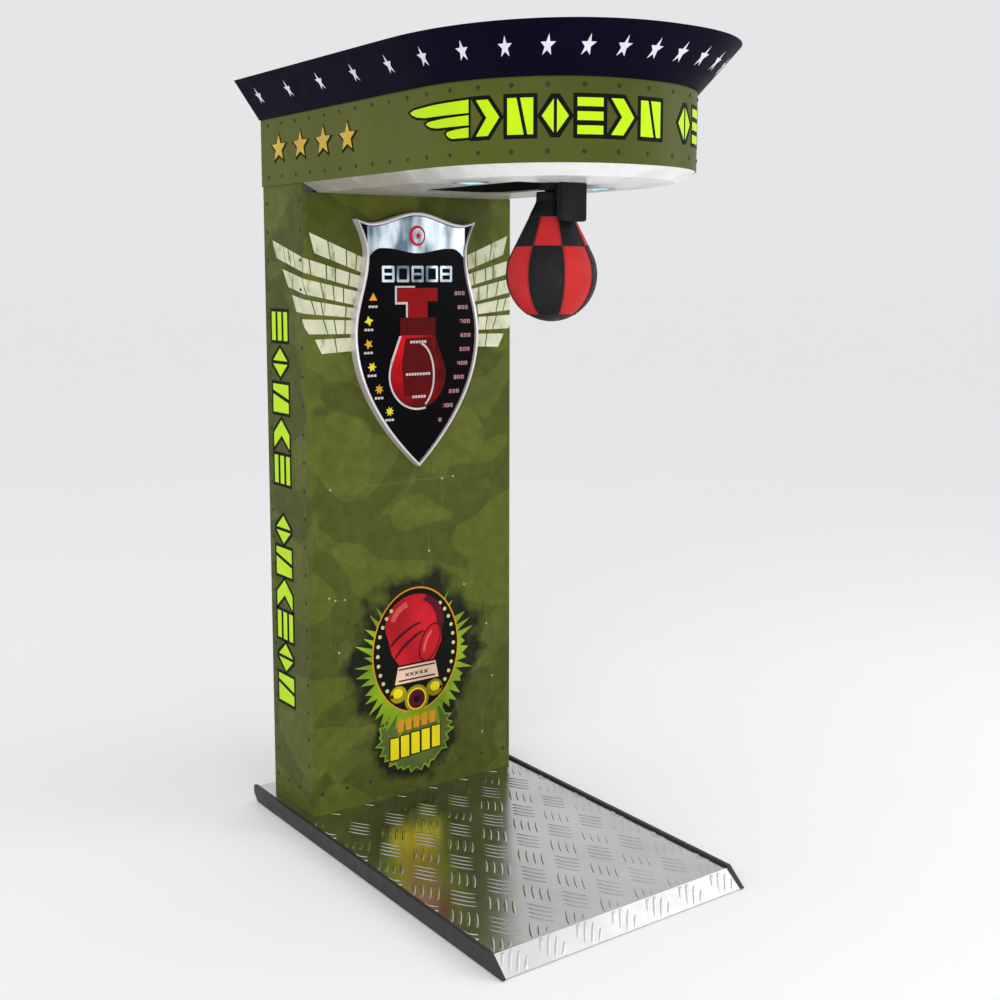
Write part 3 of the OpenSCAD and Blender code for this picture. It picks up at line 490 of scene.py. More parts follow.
def slab(shapes, thickness, step=0.0):
    """Closed flat solids in u, v and height. A shape is an outline, then its holes.

    A step cuts long shapes up along u, so that they can follow a curve."""
    flat = bmesh.new()
    for loops in shapes:
        points = [[Vector((u, v, 0.0)) for u, v in loop] for loop in loops]
        corners = [flat.verts.new(p) for loop in points for p in loop]
        for triangle in tessellate_polygon(points):
            flat.faces.new([corners[k] for k in triangle])
    if step:
        reach = [v.co.x for v in flat.verts]
        for k in range(int(min(reach) / step), int(max(reach) / step) + 1):
            everything = [*flat.verts, *flat.edges, *flat.faces]
            bmesh.ops.bisect_plane(flat, geom=everything, plane_co=(k * step, 0, 0), plane_no=(1, 0, 0))
    flat.verts.index_update()
    solid = bmesh.new()
    low = [solid.verts.new(v.co) for v in flat.verts]
    high = [solid.verts.new(v.co + Vector((0, 0, thickness))) for v in flat.verts]
    for face in flat.faces:
        ring = [v.index for v in face.verts]
        solid.faces.new([low[k] for k in reversed(ring)])
        solid.faces.new([high[k] for k in ring])
    for edge in flat.edges:
        if edge.is_boundary:
            a, b = (v.index for v in edge.verts)
            solid.faces.new([low[a], low[b], high[b], high[a]])
    flat.free()
    return solid


def laid(name, shapes, place, look, lift=0.0, thickness=0.0003, step=0.0):
    """Thin printed shapes, laid on the surface that place(u, v, lift) describes."""
    mesh = slab(shapes, thickness, step)
    for v in mesh.verts:
        v.co = place(v.co.x, v.co.y, lift + v.co.z)
    return new_piece(name, mesh, look)


# ---------- flat outlines ----------

def box_outline(u0, v0, u1, v1):
    return [(u0, v0), (u1, v0), (u1, v1), (u0, v1)]


def ellipse(u, v, ru, rv=None, count=32, start=0.0, turn=2 * pi):
    rv = ru if rv is None else rv
    steps = count if turn >= 2 * pi else count + 1
    angles = [start + turn * k / count for k in range(steps)]
    return [(u + ru * cos(a), v + rv * sin(a)) for a in angles]


def star(u, v, ru, rv=None, points=5, waist=0.42, lean=0.0):
    """A star whose first point is up, leaning by so many radians."""
    rv = ru if rv is None else rv
    corners = []
    for k in range(2 * points):
        reach = 1.0 if k % 2 == 0 else waist
        angle = pi / 2 + lean + pi * k / points
        corners.append((u + ru * reach * cos(angle), v + rv * reach * sin(angle)))
    return corners


def soft_box(u0, v0, u1, v1, r, count):
    """A rectangle with round corners."""
    corners = [(u1 - r, v1 - r, 0), (u0 + r, v1 - r, 1), (u0 + r, v0 + r, 2), (u1 - r, v0 + r, 3)]
    return [point for u, v, quarter in corners
            for point in ellipse(u, v, r, count=count, start=quarter * pi / 2, turn=pi / 2)]


def grown(outline, by):
    """The outline moved outward, with its corners kept. The outline runs anticlockwise."""
    points = [Vector(p) for p in outline]
    made = []
    for before, here, after in zip(points[-1:] + points[:-1], points, points[1:] + points[:1]):
        first, second = (here - before).normalized(), (after - here).normalized()
        out = Vector((first.y + second.y, -first.x - second.x)).normalized()
        spread = max(out.dot(Vector((first.y, -first.x))), 0.45)
        made.append(tuple(here + out * by / spread))
    return made


def clipped(outline, low, high):
    """The part of a convex outline that lies inside a rectangle."""
    for axis, limit, keep in ((0, low[0], 1), (0, high[0], -1), (1, low[1], 1), (1, high[1], -1)):
        kept = []
        for a, b in zip(outline[-1:] + outline[:-1], outline):
            inside_a, inside_b = (a[axis] - limit) * keep > 0, (b[axis] - limit) * keep > 0
            if inside_a != inside_b:
                share = (limit - a[axis]) / (b[axis] - a[axis])
                kept.append((a[0] + (b[0] - a[0]) * share, a[1] + (b[1] - a[1]) * share))
            if inside_b:
                kept.append(b)
        outline = kept
    return outline


def area(outline):
    """Signed area, positive where the outline runs anticlockwise."""
    return sum(a[0] * b[1] - b[0] * a[1] for a, b in zip(outline, outline[1:] + outline[:1])) / 2


def moved(outline, u, v, su=1.0, sv=1.0):
    return [(u + su * a, v + sv * b) for a, b in outline]


# ---------- surfaces that prints and trims lie on ----------

def on_front(u, v, lift):
    return Vector((u, FRONT_Y - lift, v))


def on_left(u, v, lift):
    return Vector((-SIDE_X - lift, u, v))


def on_display(u, v, lift):
    return Vector((u, FACE_Y - lift, v))


def on_tread(u, v, lift):
    return Vector((u, v, TREAD_Z + lift))


def on_ceiling(u, v, lift):
    return Vector((u, v, CEILING_Z + lift))


def printed(name, look, lift, thickness, *outlines, place=on_front):
    """Prints on a flat face, with lift and thickness in tenths of a millimetre."""
    return laid(name, [[loop] for loop in outlines], place, look, lift * 0.0001, thickness * 0.0001)


def on_shield(name, look, lift, thickness, *outlines):
    return printed(name, look, lift, thickness, *outlines, place=on_display)


def round_the_corner(side):
    """Surface from the middle of the column's front round its corner. Side is -1 for the left.

    u is the distance from the middle."""
    flat = SIDE_X - CORNER_R
    arc = CORNER_R * pi / 2

    def place(u, v, lift):
        if u < flat:
            return Vector((side * u, FRONT_Y - lift, v))
        if u < flat + arc:
            turn = (u - flat) / CORNER_R
            reach = CORNER_R + lift
            return Vector((side * (flat + reach * sin(turn)), FRONT_Y + CORNER_R - reach * cos(turn), v))
        return Vector((side * (SIDE_X + lift), FRONT_Y + CORNER_R + u - flat - arc, v))
    return place


def nose_power(value):
    return (1 if value >= 0 else -1) * abs(value) ** (2 / NOSE_POWER)


def canopy_outline(side_out, nose_out, rear, steps=144):
    """Plan of the canopy from rear left round the nose to rear right, moved out by the two amounts."""
    half = HEAD_X + side_out
    points = [Vector((-half, rear))]
    for k in range(steps + 1):
        a = pi * k / steps
        y = STRAIGHT_Y - (NOSE_L + nose_out) * nose_power(sin(a))
        points.append(Vector((-half * nose_power(cos(a)), y)))
    points.append(Vector((half, rear)))
    return points


class Walk:
    """Follows an outline by the distance along it."""

    def __init__(self, outline):
        self.outline = outline
        steps = [(b - a).length for a, b in zip(outline, outline[1:])]
        self.far = [0.0, *accumulate(steps)]
        self.length = self.far[-1]

    def at(self, s):
        """Index of the stretch that holds s, and the share of it passed."""
        k = max(i for i, far in enumerate(self.far[:-1]) if far <= max(s, 0.0))
        return k, (s - self.far[k]) / (self.far[k + 1] - self.far[k])

    def point(self, s):
        k, share = self.at(s)
        return self.outline[k].lerp(self.outline[k + 1], share)

    def outward(self, s, reach=0.004, end=0.001):
        """Direction square to the outline, from the points a short reach before and after."""
        near = self.point(min(s + reach, self.length - end)) - self.point(max(s - reach, end))
        return Vector((near.y, -near.x)).normalized()


fascia_walk = Walk(canopy_outline(0, 0, REAR_Y))
FASCIA_MID = fascia_walk.length / 2


def on_fascia(u, v, lift):
    """u is the distance along the fascia from the middle of its nose."""
    s = FASCIA_MID + u
    p = fascia_walk.point(s) + fascia_walk.outward(s) * lift
    return Vector((p.x, p.y, v))


VISOR_LAP = 0.006
VISOR_WALL = 0.004
visor_foot = canopy_outline(VISOR_WALL + 0.0002, VISOR_WALL + 0.0002, REAR_Y)
visor_lip = canopy_outline(VISOR_SIDE, VISOR_NOSE, REAR_Y)
visor_walk = Walk([a.lerp(b, 0.5) for a, b in zip(visor_foot, visor_lip)])
VISOR_Z0 = FASCIA_TOP - VISOR_LAP
VISOR_RISE = visor_high.z - VISOR_Z0


def on_visor(u, v, lift):
    """u is the distance from the nose along the visor's middle line, v the share of its slope."""
    s = visor_walk.length / 2 + u
    k, share = visor_walk.at(s)
    foot = visor_foot[k].lerp(visor_foot[k + 1], share)
    lip = visor_lip[k].lerp(visor_lip[k + 1], share)
    out = visor_walk.outward(s)
    flare = (lip - foot).length
    normal = Vector((out.x * VISOR_RISE, out.y * VISOR_RISE, -flare)).normalized()
    p = foot.lerp(lip, v)
    return Vector((p.x, p.y, VISOR_Z0 + VISOR_RISE * v)) + normal * lift


# ---------- canopy ----------

def wall_through(name, loops, look):
    """A smooth wall through four loops of equal length, closed at both ends."""
    mesh = bmesh.new()
    rings = [[mesh.verts.new((p.x, p.y, z)) for p in points] for points, z in loops]
    count = len(rings[0])
    for a, b in zip(rings, rings[1:] + rings[:1]):
        for k in range(count - 1):
            mesh.faces.new([a[k], a[k + 1], b[k + 1], b[k]])
    mesh.faces.new([ring[0] for ring in rings])
    mesh.faces.new([ring[-1] for ring in reversed(rings)])
    return new_piece(name, mesh, look, smooth=True)


def build_fascia():
    outer = canopy_outline(0, 0, REAR_Y)
    inner = canopy_outline(-SHEET, -SHEET, REAR_Y)
    loops = [(outer, CANOPY_Z), (outer, FASCIA_TOP), (inner, FASCIA_TOP), (inner, CANOPY_Z)]
    wall = wall_through("fascia_band", loops, "canopy_paint")
    stand_for(wall, "head_fascia")


def build_visor():
    inner_lip = canopy_outline(VISOR_SIDE - VISOR_WALL, VISOR_NOSE - VISOR_WALL, REAR_Y)
    inner_foot = canopy_outline(0.0002, 0.0002, REAR_Y)
    wall = wall_through("visor_band", [(visor_foot, VISOR_Z0), (visor_lip, visor_high.z),
                                       (inner_lip, visor_high.z), (inner_foot, VISOR_Z0)], "navy")
    stand_for(wall, "visor")


STARS_EACH_SIDE = 12


def build_visor_stars():
    """White stars round the visor, closer together at the nose."""
    nose_gap, wider, ease = 0.082, 0.098, 7.5
    gaps = [nose_gap + wider * min(k / ease, 1.0) ** 2 for k in range(STARS_EACH_SIDE - 1)]
    spots = list(accumulate([0.04, *gaps]))
    stars = [[star(side * s, 0.53, 0.0175, 0.205, waist=0.40)] for s in spots for side in (-1, 1)]
    laid("visor_stars", stars, on_visor, "star_white", step=0.02)


def build_ceiling():
    """Flat laminate with the bag's opening, and the bevelled rim round it."""
    slot_low, slot_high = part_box("bag_recess")
    liner, front_r, rear_r = 0.002, 0.012, 0.080
    x1, y0, y1 = slot_high.x - liner, slot_low.y + liner, slot_high.y - liner
    opening = [*ellipse(x1 - rear_r, y1 - rear_r, rear_r, count=10, start=0, turn=pi / 2),
               *ellipse(rear_r - x1, y1 - rear_r, rear_r, count=10, start=pi / 2, turn=pi / 2),
               *ellipse(front_r - x1, y0 + front_r, front_r, count=5, start=pi, turn=pi / 2),
               *ellipse(x1 - front_r, y0 + front_r, front_r, count=5, start=1.5 * pi, turn=pi / 2)]
    lamp_low, lamp_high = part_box("downlight_lenses")
    lamp_r, bezel_lap = (lamp_high.y - lamp_low.y) / 2, 0.0042
    lamp_x, lamp_y = lamp_high.x - lamp_r, (lamp_high.y + lamp_low.y) / 2
    edge = [tuple(p) for p in canopy_outline(-RIM_W, -RIM_W, FRONT_Y)]
    lamp_holes = [ellipse(side * lamp_x, lamp_y, lamp_r + bezel_lap) for side in (1, -1)]
    flat = laid("ceiling_sheet", [[edge, opening, *lamp_holes]], on_ceiling, "ceiling",
                thickness=CEILING_THICK)
    inside = canopy_outline(-RIM_W, -RIM_W, FRONT_Y)
    outside = canopy_outline(-SHEET, -SHEET, FRONT_Y)
    loops = [(inside, CEILING_Z), (outside, CANOPY_Z),
             (outside, CANOPY_Z + CEILING_THICK), (inside, CEILING_Z + CEILING_THICK)]
    rim = wall_through("ceiling_rim", loops, "ceiling")
    stand_for(rim, "head_ceiling")


build_fascia()
build_visor()
build_visor_stars()
build_ceiling()


# ---------- graphics on the canopy ----------

GRAPHIC_Z = CANOPY_Z + 0.104
GLYPH_W = 0.0615
GLYPH_H = 0.082
GLYPH_PITCH = 0.081
GLYPH_EDGE = 0.0095
ROW_START = -0.429      # distance from the nose's middle to the row's first block
WORD_GAP = 0.050
WING_END = -0.450       # and to the wing's straight edge
WING_L = 0.212
GOLD_START = -1.369     # and to the rear gold star
GOLD_PITCH = 0.132
SIDES = {"left": 1, "right": -1}    # sign that mirrors the left side's distances


def glyph(kind):
    """One of four stencil blocks in a unit square: chevron, slit block, slit diamond, three bars."""
    if kind == 0:
        return [[[(0, 0), (0.52, 0), (1, 0.5), (0.52, 1), (0, 1), (0.46, 0.5)]]]
    if kind == 1:
        return [[[(0, 0), (0.64, 0), (0.36, 1), (0, 1)]], [[(0.78, 0), (1, 0), (1, 1), (0.5, 1)]]]
    if kind == 2:
        return [[[(0, 0.5), (0.44, 0.04), (0.44, 0.96)]], [[(0.56, 0.04), (1, 0.5), (0.56, 0.96)]]]
    return [[box_outline(0, v, 1, v + 0.24)] for v in (0.0, 0.38, 0.76)]


def glyph_shadow(kind):
    """Outline that holds one stencil block."""
    if kind == 0:
        return glyph(0)[0][0]
    if kind == 2:
        return [(0, 0.5), (0.42, 0.02), (0.58, 0.02), (1, 0.5), (0.58, 0.98), (0.42, 0.98)]
    return box_outline(0, 0, 1, 1)


def glyph_row(name, starts, width, height, place, upwards=False, first=0, step=0.0):
    """Lime stencil blocks with black edges, in a row that reads along or upwards."""
    def laid_out(loop, start, base):
        loop = [(1 - v, u) for u, v in loop] if upwards else loop
        return moved(loop, start, base, width, height)

    blocks, patches = [], []
    for k, (start, base) in enumerate(starts):
        kind = (k + first) % 4
        patches.append([grown(laid_out(glyph_shadow(kind), start, base), GLYPH_EDGE)])
        blocks += [[laid_out(loop, start, base) for loop in loops] for loops in glyph(kind)]
    laid(name + "_edges", patches, place, "black_print", step=step)
    laid(name + "_blocks", blocks, place, "lime", lift=0.0003, step=step)


def feather(tip, length, top, height):
    """A wing feather with a rounded tip at the left and a straight edge at the right."""
    shape = [(1.0, 0.0), (0.45, 0.10), (0.07, 0.26), (0.0, 0.42),
             (0.04, 0.62), (0.14, 0.86), (0.30, 1.0), (1.0, 1.0)]
    return [(tip + length * u, top - height * v) for u, v in shape]


def canopy_wing(tag, side):
    """Three lime feathers with black edges, beside the row of blocks."""
    plates, edges = [], []
    for share, top, height in ((1.0, 0.044, 0.030), (0.68, 0.009, 0.023), (0.33, -0.019, 0.023)):
        length = WING_L * share
        shape = feather(WING_END - length, length, GRAPHIC_Z + top, height)
        for group, outline in ((plates, shape), (edges, grown(shape, 0.006))):
            group.append([[(side * u, v) for u, v in outline]])
    laid(f"wing_{tag}_edge", edges, on_fascia, "black_print", step=0.03)
    laid(f"wing_{tag}_feathers", plates, on_fascia, "lime", lift=0.0003, step=0.03)


def rank_stars(tag, side):
    """Four raised gold stars on dark ones, near the rear of the fascia."""
    mesh = bmesh.new()
    backs = []
    for k in range(4):
        u, v = side * (GOLD_START + GOLD_PITCH * k), GRAPHIC_Z
        backs.append([star(u + 0.003, v - 0.003, 0.056, 0.049, waist=0.46)])
        rim = [mesh.verts.new(on_fascia(a, b, 0.0005)) for a, b in star(u, v, 0.044, 0.039, waist=0.44)]
        peak = mesh.verts.new(on_fascia(u, v, 0.0035))
        mesh.faces.new(list(reversed(rim)))
        for a, b in zip(rim, rim[1:] + rim[:1]):
            mesh.faces.new([a, b, peak])
    laid(f"rank_stars_{tag}_back", backs, on_fascia, "black_print", thickness=0.0004)
    new_piece(f"rank_stars_{tag}", mesh, "gold")


def build_canopy_graphics():
    left_word = [ROW_START + GLYPH_PITCH * k for k in range(6)]
    right_word = [left_word[-1] + GLYPH_PITCH + WORD_GAP + GLYPH_PITCH * k for k in range(5)]
    starts = [(u, GRAPHIC_Z - GLYPH_H / 2) for u in left_word + right_word]
    glyph_row("canopy_row", starts, GLYPH_W, GLYPH_H, on_fascia, step=0.02)
    for tag, side in SIDES.items():
        canopy_wing(tag, side)
        rank_stars(tag, side)


build_canopy_graphics()


# ---------- graphics on the column ----------

def wing_rows():
    """Feather rows of one wing, each as root and tip corners in distance from the middle and height."""
    return [
        [(0.150, 1.684), (0.347, 1.763), (0.331, 1.705), (0.160, 1.644)],
        [(0.160, 1.634), (0.556, 1.744), (0.534, 1.693), (0.170, 1.600)],
        [(0.165, 1.590), (0.495, 1.660), (0.461, 1.609), (0.175, 1.551)],
        [(0.180, 1.544), (0.438, 1.586), (0.413, 1.539), (0.190, 1.518)],
        [(0.190, 1.512), (0.382, 1.519), (0.352, 1.476), (0.200, 1.473)],
        [(0.195, 1.463), (0.334, 1.460), (0.312, 1.419), (0.205, 1.424)],
    ]


def bricks(row, rng):
    """Cuts one feather row across, into blocks with thin gaps."""
    root_up, tip_up, tip_low, root_low = (Vector(p) for p in row)
    length = (tip_up - root_up).length
    cuts = [0.0]
    while cuts[-1] < 1.0 - 0.035 / length:
        cuts.append(cuts[-1] + rng.uniform(0.028, 0.085) / length)
    cuts[-1] = 1.0
    gap = 0.0022 / length
    made = []
    for a, b in zip(cuts, cuts[1:]):
        start = a + (gap if a else 0.0)
        end = b - (gap if b < 1.0 else 0.0)
        corners = [root_up.lerp(tip_up, start), root_up.lerp(tip_up, end),
                   root_low.lerp(tip_low, end), root_low.lerp(tip_low, start)]
        made.append([[tuple(p) for p in reversed(corners)]])
    return made


def build_column_wings():
    rng = random.Random(7)
    shapes = [brick for row in wing_rows() for brick in bricks(row, rng)]
    for tag, side in SIDES.items():
        laid(f"column_wing_{tag}", shapes, round_the_corner(-side), "feather", step=0.004)


def build_side_rows():
    """Two stacked rows of stencil blocks that read upwards on the left side of the column."""
    across, tall = 0.098, 0.084
    middle = (FRONT_Y + REAR_Y) / 2 + 0.037
    starts = [(middle - across / 2, foot + pitch * k)
              for foot, pitch, count in ((0.352, 0.0985, 6), (1.026, 0.1065, 5)) for k in range(count)]
    glyph_row("left_side_row", starts, across, tall, on_left, upwards=True, first=1)


def jagged(cu, cv, ru, rv, spikes, low, high, rng):
    """An oval splash whose outline jumps between a low and a high reach."""
    corners = []
    for k in range(2 * spikes):
        reach = rng.uniform(*high) if k % 2 else rng.uniform(*low)
        angle = 2 * pi * (k + rng.uniform(-0.35, 0.35)) / (2 * spikes)
        corners.append((cu + ru * reach * cos(angle), cv + rv * reach * sin(angle)))
    return corners


def turned(outline, angle):
    return [(u * cos(angle) - v * sin(angle), u * sin(angle) + v * cos(angle)) for u, v in outline]


EMBLEM_Z = 0.495


def build_emblem():
    """Badge near the foot of the column: green splashes, studded oval and a boxing glove."""
    z = EMBLEM_Z
    rng = random.Random(21)
    low_field = jagged(-0.004, 0.225, 0.130, 0.112, 28, (0.86, 0.95), (0.93, 1.06), rng)
    splash = jagged(0.0, 0.455, 0.184, 0.200, 46, (0.82, 0.97), (1.0, 1.26), rng)
    angles = [2 * pi * k / 36 for k in range(36)]
    studs = [ellipse(0.138 * cos(a), z + 0.176 * sin(a), 0.0062, count=12)
             for a in angles if abs(sin(a)) < 0.86]
    printed("emblem_field_edge", "lime_dark", 0, 2, grown(low_field, 0.005))
    printed("emblem_field_low", "splash_olive", 2, 2, low_field)
    printed("emblem_splash", "lime_dark", 4, 2, splash)
    printed("emblem_rim", "orange", 6, 2, ellipse(0.0, z, 0.158, 0.198, 48))
    printed("emblem_oval", "black_print", 8, 2, ellipse(0.0, z, 0.153, 0.193, 48))
    printed("emblem_studs", "stud", 10, 6, *studs)
    build_glove()
    build_emblem_foot()


def build_glove():
    """A boxing glove in profile: fist, folded fingers, thumb and laced cuff."""
    z = EMBLEM_Z
    fist = [*ellipse(-0.004, z + 0.084, 0.106, 0.092, 24, start=-0.40, turn=pi + 0.80),
            (-0.088, z - 0.004), (-0.062, z - 0.040), (0.064, z - 0.040), (0.092, z + 0.012)]
    shade_side = [*ellipse(-0.004, z + 0.084, 0.106, 0.092, 14, start=-0.40, turn=1.55),
                  *ellipse(-0.016, z + 0.076, 0.092, 0.086, 14, start=1.10, turn=-1.45)]
    gleam = [*ellipse(-0.006, z + 0.086, 0.088, 0.074, 12, start=1.9, turn=1.0),
             *ellipse(-0.006, z + 0.082, 0.072, 0.060, 12, start=2.9, turn=-1.0)]
    printed("glove_fist", "badge_red", 10, 4, fist)
    printed("glove_shade", "badge_maroon", 14, 2, shade_side)
    printed("glove_gleam", "badge_pink", 14, 2, gleam)
    for k, lean in enumerate((0.50, 0.62)):
        crease = turned([*ellipse(0.0, 0.0, 0.066, 0.016, 12, start=0.15, turn=2.8),
                         *ellipse(0.0, -0.003, 0.060, 0.009, 12, start=2.9, turn=-2.6)], lean)
        printed(f"glove_crease_{k}", "badge_maroon", 14, 3,
                moved(crease, -0.036 + 0.012 * k, z + 0.052 - 0.034 * k))
    build_thumb(0.050, z + 0.016, 1.15)
    cuff = [(-0.078, z - 0.100), (0.082, z - 0.100), (0.070, z - 0.046), (-0.066, z - 0.046)]
    bands = [box_outline(-0.064, z - 0.057 - 0.036 * k, 0.068, z - 0.052 - 0.036 * k) for k in range(2)]
    laces = [turned_box(-0.034 + 0.017 * k, z - 0.074, 0.016, 0.003, side)
             for k in range(5) for side in (-1, 1)]
    printed("glove_cuff", "bone", 10, 5, cuff)
    printed("glove_cuff_bands", "badge_maroon", 15, 2, *bands)
    printed("glove_laces", "black_print", 15, 2, *laces[::2])
    printed("glove_laces_over", "black_print", 17, 2, *laces[1::2])


def build_thumb(u, v, lean):
    """The glove's thumb with a dark edge and a gleam."""
    thumb = turned(ellipse(0.0, 0.0, 0.058, 0.030, 24), lean)
    gleam = turned([*ellipse(0.0, 0.0, 0.044, 0.020, 10, start=0.5, turn=2.0),
                    *ellipse(0.0, -0.002, 0.036, 0.013, 10, start=2.5, turn=-2.0)], lean)
    printed("glove_thumb_edge", "badge_maroon", 16, 2, moved(grown(thumb, 0.005), u, v))
    printed("glove_thumb", "badge_red", 18, 4, moved(thumb, u, v))
    printed("glove_thumb_gleam", "badge_pink", 22, 2, moved(gleam, u, v))


def turned_box(u, v, length, width, side):
    """A small bar that leans left or right."""
    return moved(turned(box_outline(-length / 2, -width / 2, length / 2, width / 2), side * 0.7), u, v)


def build_emblem_foot():
    """Round hub between two pads, over two rows of plain bars."""
    z = EMBLEM_Z
    pads = [ellipse(side * 0.066, z - 0.132, 0.030, 0.027, 20) for side in (-1, 1)]
    tops = [ellipse(side * 0.068, z - 0.128, 0.018, 0.015, 16) for side in (-1, 1)]
    ring = [ellipse(0.0, z - 0.156, 0.035), ellipse(0.0, z - 0.156, 0.030)]
    printed("emblem_pads", "mustard", 12, 4, *pads)
    printed("emblem_pad_tops", "yellow", 16, 2, *tops)
    printed("emblem_hub", "mustard", 18, 4, ellipse(0.0, z - 0.156, 0.044))
    laid("emblem_hub_ring", [ring], on_front, "yellow", lift=0.0022, thickness=0.0002)
    printed("emblem_hub_core", "badge_maroon", 22, 4, ellipse(0.0, z - 0.157, 0.030))
    printed("emblem_hub_pin", "black_print", 26, 2, ellipse(0.0, z - 0.157, 0.011, count=16))
    bars, caps = [], []
    for k in range(5):
        bar_u, cap_u = -0.096 + 0.038 * k, -0.070 + 0.029 * k
        bars.append(box_outline(bar_u, 0.158 + 0.003 * k, bar_u + 0.030, 0.226 + 0.003 * k))
        caps.append(box_outline(cap_u, 0.243 + 0.002 * k, cap_u + 0.022, 0.281 + 0.002 * k))
    printed("emblem_bar_edges", "black_print", 6, 2, *[grown(bar, 0.0035) for bar in bars])
    printed("emblem_bars", "yellow", 8, 3, *bars)
    printed("emblem_caps", "orange", 8, 3, *caps)


def build_traces():
    """Faint circuit lines with pale dots at their ends."""
    width, dot = 0.0012, 0.0034
    routes = [
        [(-0.292, 1.022), (-0.120, 1.022), (0.020, 1.024), (0.140, 1.024)],
        [(0.099, 1.021), (0.099, 0.930), (0.050, 0.880), (0.050, 0.800)],
        [(-0.300, 0.700), (-0.300, 0.560), (-0.270, 0.530)],
        [(-0.280, 0.690), (-0.248, 0.688)],
        [(0.266, 0.536), (0.266, 0.640), (0.230, 0.676), (0.180, 0.676)],
        [(0.290, 0.360), (0.290, 0.300), (0.250, 0.260), (0.250, 0.180)],
    ]
    lines, dots = [], []
    for route in routes:
        for a, b in zip(route, route[1:]):
            along = (Vector(b) - Vector(a)).normalized()
            side = Vector((-along.y, along.x)) * width / 2
            corners = [Vector(a) - side, Vector(b) - side, Vector(b) + side, Vector(a) + side]
            lines.append([[tuple(p) for p in corners]])
        dots += [[ellipse(*end, dot, count=12)] for end in (route[0], route[-1])]
    laid("circuit_lines", lines, on_front, "trace", thickness=0.0001)
    laid("circuit_dots", dots, on_front, "trace_dot", thickness=0.0002)


build_column_wings()
build_side_rows()
build_emblem()
build_traces()


# ---------- shield display ----------

SHIELD_Z = 1.470
SHIELD_HALF = shield_high.x
SHIELD_UP = 0.333
SHIELD_DOWN = 0.400
WAIST = 0.044     # how far the flanks draw in above the widest part
WAIST_AT = 0.72   # share of the way up at which they are narrowest
EAR = 0.033
DIP_X = 0.165
DIP_Z = SHIELD_Z + SHIELD_UP - 0.010
PEAK = 0.034
TITLE_Z = SHIELD_Z + 0.152
SCORE_Z = SHIELD_Z + 0.118    # the top score, and below it the step from one to the next
SCORE_PITCH = 0.0424
RANK_Z = SHIELD_Z + 0.107     # the same for the rank marks
RANK_PITCH = 0.067
BULB_Z = SHIELD_Z - 0.125

SEGMENTS = {  # strokes of a seven-segment digit, as low corner and size in a unit cell
    "a": (0.0, 0.84, 1.0, 0.16), "b": (0.78, 0.46, 0.22, 0.54), "c": (0.78, 0.0, 0.22, 0.54),
    "d": (0.0, 0.0, 1.0, 0.16), "e": (0.0, 0.0, 0.22, 0.54), "f": (0.0, 0.46, 0.22, 0.54),
    "g": (0.0, 0.42, 1.0, 0.16),
}
DIGITS = ["abcdef", "bc", "abged", "abgcd", "fgbc", "afgcd", "afgedc", "abc", "abcdefg", "abcdfg"]


def digit_shapes(number, u, v, width, height, pitch):
    """Outlines for a number in seven-segment digits."""
    made = []
    for k, character in enumerate(str(number)):
        for name in DIGITS[int(character)]:
            x, y, w, h = SEGMENTS[name]
            low = (u + pitch * k + x * width, v + y * height)
            made.append(box_outline(*low, low[0] + w * width, low[1] + h * height))
    return made


def half_at(z):
    """Half width of the shield at a height, as in the CAD model."""
    if z < SHIELD_Z:
        return SHIELD_HALF * (1 - ((SHIELD_Z - z) / SHIELD_DOWN) ** 2)
    share = (z - SHIELD_Z) / SHIELD_UP
    if share < WAIST_AT:
        return SHIELD_HALF - WAIST * (0.5 - 0.5 * cos(pi * share / WAIST_AT))
    return SHIELD_HALF - WAIST + EAR * ((share - WAIST_AT) / (1 - WAIST_AT)) ** 1.6


def top_at(x):
    """Height of the shield's top edge, with a peak in the middle and a rise to each ear."""
    if x < DIP_X:
        return DIP_Z + PEAK * (0.5 + 0.5 * cos(pi * x / DIP_X))
    return DIP_Z + 0.010 * ((x - DIP_X) / (half_at(SHIELD_Z + SHIELD_UP) - DIP_X)) ** 1.5


def shield_outline(inset):
    """The shield's outline, drawn in by a rim width."""
    far = half_at(SHIELD_Z + SHIELD_UP)
    side = [(half_at(z), z) for z in (SHIELD_Z - SHIELD_DOWN * cos(pi / 2 * k / 28) for k in range(29))]
    side += [(half_at(z), z) for z in (SHIELD_Z + SHIELD_UP * k / 24 for k in range(1, 25))]
    side += [(x, top_at(x)) for x in (far * (1 - k / 24) for k in range(1, 25))]
    outline = side + [(-x, z) for x, z in reversed(side[1:-1])]
    across = 1 - inset / SHIELD_HALF
    up = 1 - 2 * inset / (SHIELD_UP + SHIELD_DOWN)
    middle = SHIELD_Z - 0.020
    return [(x * across, middle + (z - middle) * up) for x, z in outline]


def build_shield_rim():
    """Silver rim with a rounded front edge."""
    front = shield_low.y
    section = [(0.0, FRONT_Y), (0.0, front + 0.0050), (0.0008, front + 0.0020), (0.0030, front + 0.0003),
               (0.0055, front), (0.0080, front + 0.0012), (0.0096, front + 0.0045), (0.0100, FRONT_Y)]
    mesh = bmesh.new()
    rings = [[mesh.verts.new((x, y, z)) for x, z in shield_outline(inset)] for inset, y in section]
    for a, b in zip(rings, rings[1:] + rings[:1]):
        bridge(mesh, a, b)
    stand_for(new_piece("shield_rim", mesh, "silver_rim", smooth=True), "shield_frame")


